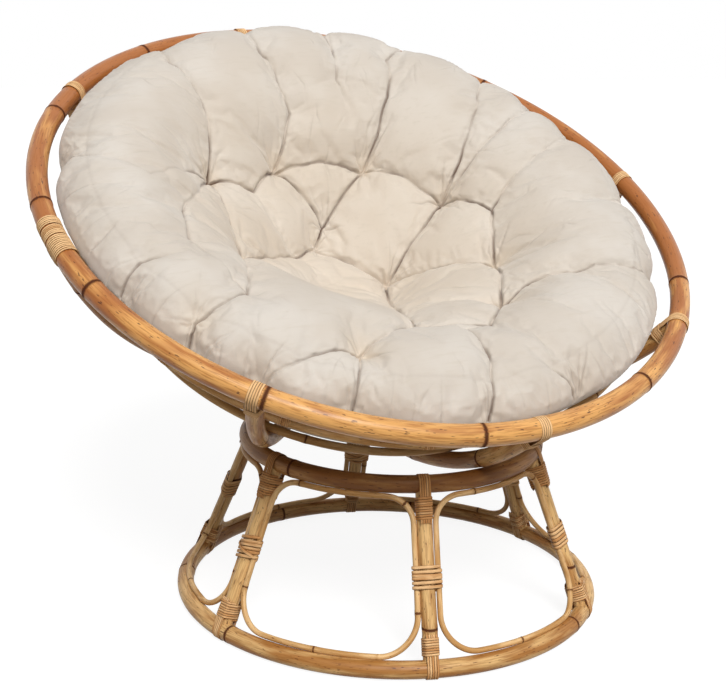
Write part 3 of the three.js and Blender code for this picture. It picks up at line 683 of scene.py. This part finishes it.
def makeBowl():
    firstRib = bowl["firstRib"] * degree
    spliceTurn = firstRib + (bowl["splicedRib"] - 1) * ribSpacing
    start = spliceTurn + bowl["rimStart"] * degree
    knuckles = [(turn * degree - start) % fullTurn * rimRadius for turn in bowl["rimKnuckles"]]
    path = ringPath(rimRadius, -bowl["rimDepth"], start)
    growth = {**poleGrowth, "wobble": 1.2, "swell": 0.05}
    run = poleRun(*path, True, growth, np.random.default_rng(3), knuckles)
    x, y, _ = run["points"].T
    # Painted light and shade: the rim's tone is raised across its front, where the key lamp falls, and
    # lowered away from it.
    pale = (0.5 + 0.5 * np.cos(np.arctan2(x, -y) - bowl["paintedLightTurn"] * degree)) ** 4
    run["tone"] = bowl["ownTone"] * run["tone"] + bowl["paintedLightTone"] * pale + bowl["paintedShadeTone"]
    canePiece("rimPole", "bowl", "rim_rattan", [run], roundSizes(bowl["rimPole"], 28, rimRattan), "rim")
    path = ringPath(bowl["hubRadius"], -bowl["radius"] * math.cos(hubReach), firstRib)
    run = poleRun(*path, True, {**poleGrowth, "wobble": 0.3}, np.random.default_rng(4))
    sizes = roundSizes(bowl["hubPole"], 20, rattan)
    canePiece("hubRingPole", "bowl", "rattan_pole", [run], sizes, "hub_ring")
    reaches = np.linspace(hubReach, ribReach, 300)[:, None]
    sizes = roundSizes(bowl["ribPole"], 20, rattan)
    for number in range(1, bowl["ribs"] + 1):
        turn = firstRib + (number - 1) * ribSpacing
        chance = np.random.default_rng(30 + number)
        points = bowl["radius"] * (outward(turn) * np.sin(reaches) - upright * np.cos(reaches))
        run = poleRun(points, unit(points), False, {**poleGrowth, "spacing": bowl["ribKnuckles"]}, chance)
        rib, node = f"rib{number}", f"rib_{number}"
        canePiece(rib + "Pole", "bowl", "rattan_pole", [run], sizes, node)
        joint = jointFrame(points[-1], along(turn), unit(points[-30] - points[-1]))
        strands = bowl["splicedStrands"] if number == bowl["splicedRib"] else lashing["strapStrands"]
        runs = lashedJoint(joint, bowl["rimPole"], bowl["ribPole"], lashing["ribLoops"], chance, 1, strands)
        canePiece(rib + "RimLashing", "bowl", "lashing_cane", runs, strandSizes, node + "_rim_lashing")
    growth = {**caneGrowth, "wobble": 0.7, "spacing": 240}
    sphere = insideRibs - bowl["innerCane"]
    for name, node, reach, lean in (
        ("upperCaneRing", "upper_cane_ring", bowl["upperReach"], bowl["upperLean"]),
        ("lowerCaneRing", "lower_cane_ring", bowl["lowerReach"], 0),
    ):
        path = ringPath(sphere * math.sin(reach * degree), -sphere * math.cos(reach * degree), firstRib)
        axis = Vector(along(bowl["upperLeanTurn"] * degree))
        turned = np.array(Matrix.Rotation(-lean * degree, 3, axis)).T
        points, facing = (part @ turned for part in path)
        run = poleRun(points, facing, True, growth, np.random.default_rng(len(name)))
        canePiece(name, "bowl", "thin_cane", [run], roundSizes(bowl["innerCane"], 14, thinCane), node)
        if lean:
            wraps = ringWraps(points, facing, np.random.default_rng(90))
    sizes = {**strandSizes, "Width": bowl["wrapWidth"] * mm, "Thickness": bowl["wrapThickness"] * mm}
    canePiece("caneRingWraps", "bowl", "lashing_cane", wraps, sizes)
    outline = hullOutline([(0, 0, bowl["rimPole"] + 0.5)], bowl["splicePoint"])
    for number, loops, hand in zip((1, 2), bowl["spliceLoops"], (-1, 1)):
        pitch, tone = lashing["pitch"] * bowl["splicePitch"], bowl["spliceTone"]
        run = wound(outline, outline, bowl["ribPole"] - 1.5, pitch, loops, lashing["strandThickness"],
                    np.random.default_rng(60 + number), tone=tone)
        x, y, height = run["points"].T
        faceX, faceY, _ = run["outward"].T
        ways = outward(spliceTurn + hand * height / rimRadius)
        run["points"] = ways * (rimRadius + hand * x)[:, None] + upright * (y - bowl["rimDepth"])[:, None]
        run["outward"] = ways * (hand * faceX)[:, None] + upright * faceY[:, None]
        wrap = f"rim_splice_wrap_{number}"
        canePiece(f"rimSpliceWrap{number}", "bowl", "lashing_cane", [run], strandSizes, wrap)
    print("bowl done")


# Cushion.
cushion = {
    "gap": 5, "roll": 100, "crestRise": 54, "crestLean": 8, "edgeDrop": 12, "thickness": 172,
    "seatedLimit": 55, "shift": 12, "tuftDepth": 40, "tuftReach": 30, "seam": 452, "seamWidth": 2.5,
    "shoulder": 34, "foldReach": 7, "gather": 0.16, "tuftLeast": 20, "tuftFull": 34, "holdDepth": 11,
    "slackening": 0.72, "longCrease": 140,  # how much of a long crease's depth is lost half way
    "foldDepth": 5.8, "pucker": 1.6, "pleatDepth": 3.6, "seamDepth": 0.6,
    # Widths of the folds, their puckers, and the painted shade along folds and gathers.
    "foldWidth": 2.1, "pleatWidth": 2.4, "puckerWidth": 8, "pleatPucker": 6, "foldShadeWidth": 1.8,
    "pleatShade": 1.3,
    "overTurn": 158, "overLift": 24, "overReach": 15, "overCrest": 19,  # behind, the roll swells over the rim
    "sideTurn": 30, "sideReach": 13, "wander": 2.2, "notch": 20, "slack": 8, "underside": 120,
    "lashed": (-30, -12), "overRim": (-2, 16), "overRimRoom": 18,  # heights over the rim's own
    "voxel": 5.5, "pressure": 4, "cap": 24, "ease": 0.05, "frames": 20, "fill": 0.7,
}
# Where the cover is tied down: across and down the photograph in pixels, and the depth.
tufts = {
    "back": (276, 164, 36), "backFork": (254, 189, 14), "left": (211, 173, 36), "far": (366, 163, 36),
    "farRight": (444, 197, 36), "leftNear": (242, 253, 30), "middle": (317, 245, 24), "fork": (324, 221, 22),
    "centre": (389, 279, 34), "right": (498, 260, 36), "rightNear": (503, 302, 32),
    "rightFork": (494, 322, 18),
    "nearCentre": (417, 326, 22), "near": (362, 351, 32), "nearLeft": (196, 322, 26),
    "leftFork": (250, 289, 12),
}
# Creases run between the tufts and other such places. A number by itself is the turn at which
# a crease goes over the edge.
creases = [
    ["back", "far"], ["back", "fork", "middle"], ["fork", "far"], ["back", "backFork", "left"],
    ["back", (285, 134, 18), (291, 110, 14), (279, 79, 12), (262, 50, 12), 186],
    ["left", (212, 142, 14), (203, 99, 10), (171, 61, 10), 206], ["left", (150, 175, 6), 252],
    ["left", (183, 208, 12), (190, 235, 12), "leftFork"], ["far", (389, 95, 16), (389, 57, 14), 147],
    [(346, 101, 4), (336, 75, 12), (334, 46, 14), 168], ["far", "farRight"], ["left", "leftNear"],
    ["farRight", (460, 156, 16), (474, 110, 10), (479, 93, 12), 130], ["farRight", (503, 126, 12), 115],
    ["right", (491, 205, 16), (509, 181, 12), (540, 150, 8), 104], ["farRight", (491, 205, 16)],
    [(560, 206, 2), (590, 196, 6), 82], ["farRight", "centre"], ["centre", "nearCentre"], ["centre", "right"],
    ["right", "rightNear", (526, 283, 16), (573, 269, 14), (619, 263, 8), 60],
    ["rightNear", "rightFork", "nearCentre"], ["middle", "centre"], ["leftNear", "middle"],
    ["rightFork", (467, 326, 12), (491, 351, 14), (493, 375, 14), 358],
    ["leftNear", "leftFork", "nearLeft", 306],
    ["nearCentre", "near"], ["near", (315, 351, 12), (295, 361, 10), 318], ["near", 334],
    [(195, 250, 4), (142, 259, 12), 290], [(540, 358, 4), (558, 371, 12), 18],
]
# The cover's small folds: how many, and from how much to how much each measure varies.
gathers = {
    "atTuft": 8, "atEdge": 5, "edgeLeast": 16, "hollowLength": (25, 75), "hollowStrength": (0.35, 1),
    "hollowBend": 0.12, "hollowStart": 6, "hollowTurn": 0.3, "weakened": 0.8,
    "pleats": 72, "pleatTurn": 2.5, "pleatInner": (415, 470), "pleatOuter": (485, 515), "pleatLean": 2,
    "pleatStrength": (0.1, 0.8),
    "loose": 150, "looseRadius": (130, 485), "looseTurn": 0.5, "looseHalf": (12, 42), "looseBend": 0.3,
    "looseStrength": (0.1, 0.5),
}


def smooth(value, low, high):
    share = np.clip((value - low) / (high - low), 0, 1)
    return share * share * (3 - 2 * share)


def planPoint(radius, turn):
    return np.array([radius * math.sin(turn * degree), -radius * math.cos(turn * degree)])


def wandering(plan):
    # Moves places a little, so that straight lines through them wander as folds in cloth do.
    x, y = plan.T
    sway = np.sin(x / 24 + 2 * np.sin(y / 37)) + 0.25 * np.sin(y / 9 + x / 23)
    swing = np.sin(y / 22 + 2 * np.sin(x / 33 + 1)) + 0.25 * np.sin(x / 8 - y / 21)
    return plan + cushion["wander"] * np.column_stack([sway, swing])


cushionSeat = insideRibs - 2 * bowl["innerCane"] - 1
cushionEdge = rimRadius - 16 - cushion["shift"] - cushion["gap"]
cushionCrest = cushionEdge - cushion["roll"]
edgePlace = cushionEdge - 10
insideLashings = bowl["radius"] - bowl["rimPole"] - 4
bowlShift = np.array([cushion["shift"], 0, 0])


def inBowl(points):
    # Metres in the room to millimetres in the bowl's own frame, about the cushion's middle.
    return (points - np.array(hinge)) @ np.array(frames["bowl"].to_3x3()) / mm + bowlShift


def fromBowl(local):
    return (local - bowlShift) * mm @ np.array(frames["bowl"].to_3x3()).T + np.array(hinge)


def widestAt(turns, slack=0.0):
    # How far out the cushion reaches, at what height, and how much higher its crest is there.
    over, aside = (
        (0.5 + 0.5 * np.cos(turns - cushion[title] * degree)) ** 2 for title in ("overTurn", "sideTurn"))
    edge = cushionEdge - slack + cushion["overReach"] * over + cushion["sideReach"] * aside
    height = cushion["overLift"] * over - bowl["rimDepth"] - cushion["edgeDrop"]
    return edge, height, cushion["overCrest"] * over


def crownHeight(radius, turns, slack=0.0):
    # The cushion's smooth top: a dish that rises to a crest, and a roll down to the edge.
    edge, widest, over = widestAt(turns, slack)
    crestTop = cushion["crestRise"] - bowl["rimDepth"] - cushion["crestLean"] * np.cos(turns) + over - slack
    middleTop = cushion["thickness"] - cushionSeat - slack
    dish = middleTop + (crestTop - middleTop) * smooth(radius, 0, cushionCrest)
    rolled = np.clip((radius - cushionCrest) / (edge - cushionCrest), 0, 1)
    return np.where(radius < cushionCrest, dish, widest + (crestTop - widest) * np.sqrt(1 - rolled ** 2))


def fromPhoto(across, down, depth):
    # The place in plan that the camera sees there, in a hollow of this depth.
    right, up = np.array(camera["right"]), np.array(camera["up"])
    width, height = camera["frame"]
    pixel = camera["sensor"] / camera["lens"] / width
    way = (across - width / 2) * pixel * right - (down - height / 2) * pixel * up - np.cross(right, up)
    away = np.arange(1.5, 3.3, 0.002)[:, None]
    local = inBowl(np.array(camera["place"]) + away * way)
    radius, turns = np.hypot(local[:, 0], local[:, 1]), np.arctan2(local[:, 0], -local[:, 1])
    under = (local[:, 2] < crownHeight(radius, turns) - 0.8 * depth) & (radius < cushionEdge)
    return local[under.argmax(), :2]


def creaseRuns():
    runs = []
    for line in creases:
        places = [tufts.get(place, place) if isinstance(place, str) else place for place in line]
        runs.append([
            (fromPhoto(*place), place[2]) if isinstance(place, tuple)
            else (planPoint(cushionEdge, place), cushion["notch"]) for place in places])
    return runs


def creaseSegments(runs):
    segments = []
    for run in runs:
        for (start, deep), (end, deeper) in zip(run, run[1:]):
            sag = min(1, np.linalg.norm(end - start) / cushion["longCrease"])
            middle = (start + end) / 2
            depth = (deep + deeper) / 2 * (1 - cushion["slackening"] * sag)
            segments += [(start, middle, deep, depth), (middle, end, depth, deeper)]
    return segments


def fromLine(plan, start, end):
    # How far along a line each place is, as a share, and how far from it.
    way = end - start
    share = np.clip((plan - start) @ way / (way @ way), 0, 1)
    return share, np.linalg.norm(plan - start - share[:, None] * way, axis=1)


def creasePull(plan, segments):
    # How far the creases draw each place down, with a broad shoulder and a sharp fold, and
    # how far the nearest fold is.
    total = np.zeros(len(plan))
    nearest = np.full(len(plan), 1e3)
    plan = wandering(plan)
    for start, end, deep, deeper in segments:
        share, gap = fromLine(plan, start, end)
        depth = deep + (deeper - deep) * share
        shoulder, fold = np.exp(-(gap / cushion["shoulder"]) ** 1.5), np.exp(-gap / cushion["foldReach"])
        total += (depth * (0.5 * shoulder + 0.5 * fold)) ** 3
        nearest = np.minimum(nearest, gap + np.maximum(0, cushion["holdDepth"] - depth))
    return total ** (1 / 3), nearest


def pleatSegments(hollows, chance):
    # Short lines where the cover is gathered: round each tuft, in from the edge, and loose.
    def spread(reach):
        return chance.uniform(-reach, reach)

    segments = []
    for start, depth in hollows:
        edge = np.linalg.norm(start) > edgePlace
        if depth < (gathers["edgeLeast"] if edge else cushion["tuftLeast"]):
            continue
        inward = math.atan2(-start[1], -start[0])
        count = gathers["atEdge" if edge else "atTuft"]
        for number in range(count):
            if edge:
                angle = inward + spread(1)
            else:
                angle = (number + spread(gathers["hollowTurn"])) * fullTurn / count
            length = chance.uniform(*gathers["hollowLength"]) * (1 if edge else depth / cushion["tuftFull"])
            way = np.array([math.cos(angle), math.sin(angle)])
            bend = np.array([-way[1], way[0]]) * spread(gathers["hollowBend"]) * length
            first = start + way * gathers["hollowStart"]
            middle, last = start + way * length / 2 + bend, start + way * length
            strong = chance.uniform(*gathers["hollowStrength"])
            weak = strong * gathers["weakened"]
            segments += [(first, middle, strong, weak), (middle, last, weak, 0)]
    for turn in np.arange(0, 360, 360 / gathers["pleats"]):
        turn, inner = turn + spread(gathers["pleatTurn"]), chance.uniform(*gathers["pleatInner"])
        outer, lean = chance.uniform(*gathers["pleatOuter"]), spread(gathers["pleatLean"])
        start, end = planPoint(outer, turn), planPoint(inner, turn + lean)
        segments.append((start, end, chance.uniform(*gathers["pleatStrength"]), 0))
    for number in range(gathers["loose"]):
        middle = planPoint(chance.uniform(*gathers["looseRadius"]), chance.uniform(0, 360))
        angle = math.atan2(middle[1], middle[0]) + chance.normal(0, gathers["looseTurn"])
        half = np.array([math.cos(angle), math.sin(angle)]) * chance.uniform(*gathers["looseHalf"])
        bend = np.array([-half[1], half[0]]) * spread(gathers["looseBend"])
        strong = chance.uniform(*gathers["looseStrength"])
        segments += [(middle - half, middle + bend, 0, strong), (middle + bend, middle + half, strong, 0)]
    return segments


def foldLines(plan, segments, width):
    # How strongly the nearest of the lines marks each place: 1 on a line, 0 away from it.
    total = np.zeros(len(plan))
    plan = wandering(plan)
    order = np.argsort(plan[:, 0])
    x = plan[order, 0]
    for start, end, strong, weak in segments:
        low, high = np.minimum(start, end) - 3 * width, np.maximum(start, end) + 3 * width
        near = order[np.searchsorted(x, low[0]):np.searchsorted(x, high[0])]
        near = near[(plan[near, 1] > low[1]) & (plan[near, 1] < high[1])]
        share, gap = fromLine(plan[near], start, end)
        mark = (strong + (weak - strong) * share) * np.exp(-(gap / width) ** 2)
        total[near] = np.maximum(total[near], mark)
    return total


def tuftPull(plan, hollows):
    total = np.zeros(len(plan))
    for place, depth in hollows:
        if depth >= cushion["tuftLeast"]:
            gap = np.linalg.norm(plan - place, axis=1)
            deep = depth / cushion["tuftFull"] * cushion["tuftDepth"]
            total = np.maximum(total, deep * np.exp(-(gap / cushion["tuftReach"]) ** 1.4))
    return total


def wrinkles(plan, hollows, chance):
    # Folds that run out from each tuft, as gathered cloth does.
    total = np.zeros(len(plan))
    for place, depth in hollows:
        if np.linalg.norm(place) > edgePlace:
            continue
        offset = plan - place
        gap = np.linalg.norm(offset, axis=1)
        angle = np.arctan2(offset[:, 1], offset[:, 0])
        fold = np.zeros(len(plan))
        for beats in (3, 5, 8, 13):
            sway = 0.35 * np.sin(gap / 25 + chance.uniform(0, fullTurn))
            fold += np.abs(np.sin(beats / 2 * (angle + sway) + chance.uniform(0, fullTurn))) / beats ** 0.5
        near = np.exp(-gap / (depth * 1.5)) * (1 - np.exp(-(gap / 8) ** 2))
        total += (1.3 - fold) * near * depth * cushion["gather"]
    return total


def keptInside(points):
    # What shrinks each point onto the cane rings, or above them onto the lashings.
    reach = np.linalg.norm(points, axis=1)
    height = points[:, 2] + bowl["rimDepth"]
    lashed, free = smooth(height, *cushion["lashed"]), smooth(height, *cushion["overRim"])
    limit = cushionSeat + (insideLashings - cushionSeat) * lashed + cushion["overRimRoom"] * free
    return np.minimum(1, limit / reach)[:, None]


def drawnDown(plan, segments, hollows):
    return np.maximum(tuftPull(plan, hollows), creasePull(plan, segments)[0])


def cushionShell(slack, segments, hollows):
    # The cushion's outside as a closed skin, slack millimetres smaller all round than filled.
    # A row has a radius, a height unless it is on the crown, and how much of the edge's pull
    # draws it in.
    columns, dishRows, rollRows, sideRows, underRows = 300, 84, 34, 24, 60
    turns = np.arange(columns) * fullTurn / columns
    edge, widest, _ = widestAt(turns, slack)
    seated = cushionSeat * math.sin(cushion["seatedLimit"] * degree)
    seatHeight = -math.sqrt(cushionSeat ** 2 - seated ** 2)
    control = seatHeight + (edge - seated) * seated / -seatHeight
    whole = np.ones(columns)
    rows = [(cushionCrest * share * whole, None, 1) for share in np.linspace(0, 1, dishRows + 1)[1:]]
    for share in np.linspace(0, 1, rollRows + 1)[1:]:
        rows.append((cushionCrest + (edge - cushionCrest) * math.sin(share * math.pi / 2), None, 1))
    for share in np.linspace(0, 1, sideRows)[1:]:
        start, middle, end = (1 - share) ** 2, 2 * share * (1 - share), share ** 2
        radius = (start + middle) * edge + end * seated
        height = start * widest + middle * control + end * seatHeight
        rows.append((radius, height, max(0, 1 - 2 * share)))
    for share in np.linspace(1, 0, underRows)[1:-1]:
        radius = seated * share
        rows.append((radius * whole, -math.sqrt(cushionSeat ** 2 - radius ** 2) * whole, 0))
    points = []
    for radius, height, drawn in rows:
        plan = outward(turns)[:, :2] * radius[:, None]
        if drawn:
            pull = drawnDown(plan, segments, hollows) - wrinkles(plan, hollows, np.random.default_rng(5))
            rolled = smooth(radius, cushionCrest, edge)
            if height is None:
                height = crownHeight(radius, turns, slack) - pull * (1 - rolled * 0.8)
            plan = plan * (1 - drawn * pull * 0.8 * rolled / np.maximum(radius, 1))[:, None]
        points.append(np.column_stack([plan, height]))
    middle = np.array([[0, 0, cushion["thickness"] - cushionSeat - slack], [0, 0, -cushionSeat]])
    middle[0, 2] -= drawnDown(middle[:1, :2], segments, hollows)[0]
    points = np.vstack([*points, middle]) - bowlShift
    points *= keptInside(points)
    last, top = (len(rows) - 1) * columns, len(rows) * columns
    ring = [(at, (at + 1) % columns) for at in range(columns)]
    faces = [
        (first + columns + at, first + columns + after, first + after, first + at)
        for first in range(0, last, columns) for at, after in ring]
    for at, after in ring:
        faces += [(at, after, top), (last + after, last + at, top + 1)]
    return points, faces


def readPoints(mesh, field="co"):
    flat = np.empty(len(mesh.vertices) * 3, np.float32)
    mesh.vertices.foreach_get(field, flat)
    return flat.reshape(-1, 3).astype(float)


def setPoints(mesh, points):
    mesh.vertices.foreach_set("co", points.astype(np.float32).ravel())
    mesh.update()


def puffed(holder, segments, hollows):
    # The cover is blown up between its tufts and creases, which hold; so does its underside.
    start = readPoints(holder.data)
    local = inBowl(start)
    nearest = creasePull(local[:, :2], segments)[1]
    seated = np.linalg.norm(local - bowlShift, axis=1) > cushionSeat - 6
    tufted = tuftPull(local[:, :2], hollows) > 0.8 * cushion["tuftDepth"]
    held = seated | (tufted & (local[:, 2] > cushion["underside"] - cushionSeat))
    holding = holder.vertex_groups.new(name="held")
    for places, weight in ((held, 1.0), ((nearest < 4) & ~held, 0.8)):
        holding.add(np.flatnonzero(places).tolist(), weight, "REPLACE")
    cloth = holder.modifiers.new("filling", "CLOTH").settings
    for name, value in (
        ("use_pressure", True), ("uniform_pressure_force", cushion["pressure"]), ("quality", 4),
        ("vertex_group_mass", "held"), ("shrink_min", -cushion["ease"]), ("bending_stiffness", 0.2),
    ):
        setattr(cloth, name, value)
    cloth.effector_weights.gravity = 0
    scene = bpy.context.scene
    for step in range(1, cushion["frames"] + 1):
        scene.frame_set(step)
    move = readPoints(holder.evaluated_get(bpy.context.evaluated_depsgraph_get()).data) - start
    holder.modifiers.clear()
    scene.frame_set(1)
    size = np.linalg.norm(move, axis=1, keepdims=True)
    cap = cushion["cap"] * mm
    move *= np.where(size > 0, cap * np.tanh(size / cap) / np.maximum(size, 1e-9), 1)
    setPoints(holder.data, start + move)


def refined(mesh, lines):
    # Splits the faces that a fold runs through, so that it can be sharp.
    local = inBowl(readPoints(mesh))
    marked = (foldLines(local[:, :2], lines, 4) > 0.12) & (local[:, 2] > cushion["underside"] - cushionSeat)
    finer = bmesh.new()
    finer.from_mesh(mesh)
    split = [edge for edge in finer.edges if all(marked[vert.index] for vert in edge.verts)]
    bmesh.ops.subdivide_edges(finer, edges=split, cuts=1, use_grid_fill=True)
    finer.to_mesh(mesh)
    finer.free()
    mesh.update()


def folded(mesh, lines, pleats, hollows):
    # Presses the folds, gathers and seam into the cover's top, and marks them for its material,
    # which paints shade along them.
    local = inBowl(readPoints(mesh))
    normals = readPoints(mesh, "normal") @ np.array(frames["bowl"].to_3x3())
    top = smooth(normals[:, 2], -0.2, 0.3)
    plan = local[:, :2]
    radius = np.linalg.norm(plan, axis=1)
    (fold, rise, foldShade), (pleat, pleatRise, pleatShade) = (
        [foldLines(plan, marks, cushion[title]) for title in titles] for marks, titles in (
            (lines, ("foldWidth", "puckerWidth", "foldShadeWidth")),
            (pleats, ("pleatWidth", "pleatPucker", "pleatShade"))))
    seam = np.exp(-((radius - cushion["seam"]) / cushion["seamWidth"]) ** 2)
    sunk = cushion["foldDepth"] * fold + cushion["pleatDepth"] * pleat + cushion["seamDepth"] * seam
    sunk -= cushion["pucker"] * (rise + 0.6 * pleatRise)
    local = local - normals * (sunk * top)[:, None] - bowlShift
    setPoints(mesh, fromBowl(local * keptInside(local) + bowlShift))
    x, y = plan.T
    broken = np.clip(0.75 + 0.6 * np.sin(x / 19 + 2 * np.sin(y / 16)), 0.2, 1)
    # The crease mark is painted shade along the folds, gathers and seam.
    crease = np.maximum(foldShade, 0.4 * pleatShade) * broken + 0.06 * seam
    warmth = np.maximum(0.6 * (1 - smooth(radius, 150, 430)), tuftPull(plan, hollows) / cushion["tuftDepth"])
    for name, values in (("crease", np.clip(crease * top, 0, 1)), ("warmth", warmth * top)):
        mesh.attributes.new(name, "FLOAT", "POINT").data.foreach_set("value", values.astype(np.float32))


def makeCushion():
    runs = creaseRuns()
    segments = creaseSegments(runs)
    hollows = [(fromPhoto(*place), place[2]) for place in tufts.values()]
    hollows += [place for run in runs for place in run if place[1] <= cushion["notch"]]
    points, faces = cushionShell(cushion["slack"], segments, hollows)
    mesh = bpy.data.meshes.new("cushion")
    mesh.from_pydata(fromBowl(points + bowlShift).tolist(), [], faces)
    holder = shown("cushionCover", mesh)
    remesh = holder.modifiers.new("even", "REMESH")
    remesh.mode = "VOXEL"
    remesh.voxel_size = cushion["voxel"] * mm
    applyModifiers(holder)
    print("cushion remeshed:", len(holder.data.vertices), "points")
    puffed(holder, segments, hollows)
    print("cushion filled")
    finer = holder.modifiers.new("finer", "SUBSURF")
    finer.levels = finer.render_levels = 1
    applyModifiers(holder)
    mesh = holder.data
    lines = [(start, end, *smooth(np.array(depths), 1, 20)) for start, end, *depths in segments]
    pleats = pleatSegments(hollows, np.random.default_rng(8))
    refined(mesh, lines + pleats)
    print("cushion refined:", len(mesh.polygons), "faces")
    folded(mesh, lines, pleats, hollows)
    mesh.polygons.foreach_set("use_smooth", np.ones(len(mesh.polygons), bool))
    mesh.materials.clear()
    mesh.materials.append(canvas)
    finished(holder, "bowl", "cushion_cloth", "cushion")
    print("cushion done")


studio = {
    "floor": 9, "low": 0.06, "high": 0.4, "lowest": -0.2, "highest": 0.9, "white": (1, 1, 1, 1),
    "lamps": {"keyLight": (2.8, 24, -14, 47), "fillLight": (0.25, 60, 80, 35)},  # power, size, turn, lift
    "paper": "F4F3F1", "dull": "9A958D", "glow": 1.12, "glowShare": 0.8,
}


def seenDirectly(tree):
    # 1 for what the camera sees, also in a mirror or through glass.
    rays = addNode(tree, "ShaderNodeLightPath").outputs
    seen = rays["Is Camera Ray"]
    for name in ("Is Glossy Ray", "Is Transmission Ray"):
        seen = addNode(tree, "ShaderNodeMath", [seen, rays[name]], operation="MAXIMUM")
    return seen


def makeStudio():
    world = bpy.data.worlds.new("softStudio")
    bpy.context.scene.world = world
    world.use_nodes = True
    tree = world.node_tree
    tree.nodes.clear()
    way = addNode(tree, "ShaderNodeTexCoord").outputs["Generated"]
    lift = addNode(tree, "ShaderNodeSeparateXYZ", [way]).outputs["Z"]
    inputs = [lift, studio["lowest"], studio["highest"], studio["low"], studio["high"]]
    strength = addNode(tree, "ShaderNodeMapRange", inputs, **eased)
    soft = addNode(tree, "ShaderNodeBackground", [studio["white"], strength])
    white = addNode(tree, "ShaderNodeBackground", [studio["white"], 1.0])
    either = addNode(tree, "ShaderNodeMixShader", [seenDirectly(tree), soft, white])
    addNode(tree, "ShaderNodeOutputWorld", [either])
    for name, (strength, angle, turn, lift) in studio["lamps"].items():
        light = bpy.data.lights.new(name, "SUN")
        light.energy = strength
        light.angle = angle * degree
        toLight = Vector(outward(turn * degree) * math.cos(lift * degree) + upright * math.sin(lift * degree))
        shown(name, light).rotation_euler = toLight.to_track_quat("Z", "Y").to_euler()
    half = studio["floor"]
    mesh = bpy.data.meshes.new("studioFloor")
    corners = [(x * half, y * half, 0) for x, y in ((-1, -1), (1, -1), (1, 1), (-1, 1))]
    mesh.from_pydata(corners, [], [(0, 1, 2, 3)])
    material, tree = newMaterial("paleFloor")
    paper, dull = (
        addNode(tree, "ShaderNodeBsdfDiffuse", [colour(studio[title])]) for title in ("paper", "dull"))
    glow = addNode(tree, "ShaderNodeEmission", [studio["white"], studio["glow"]])
    pale = addNode(tree, "ShaderNodeMixShader", [studio["glowShare"], paper, glow])
    either = addNode(tree, "ShaderNodeMixShader", [seenDirectly(tree), dull, pale])
    addNode(tree, "ShaderNodeOutputMaterial", [either])
    mesh.materials.append(material)
    floor = shown("studioFloor", mesh)
    bpy.context.scene.view_settings.view_transform = "Standard"


addCamera()
makeStudio()
makeBase()
makeBowl()
makeCushion()
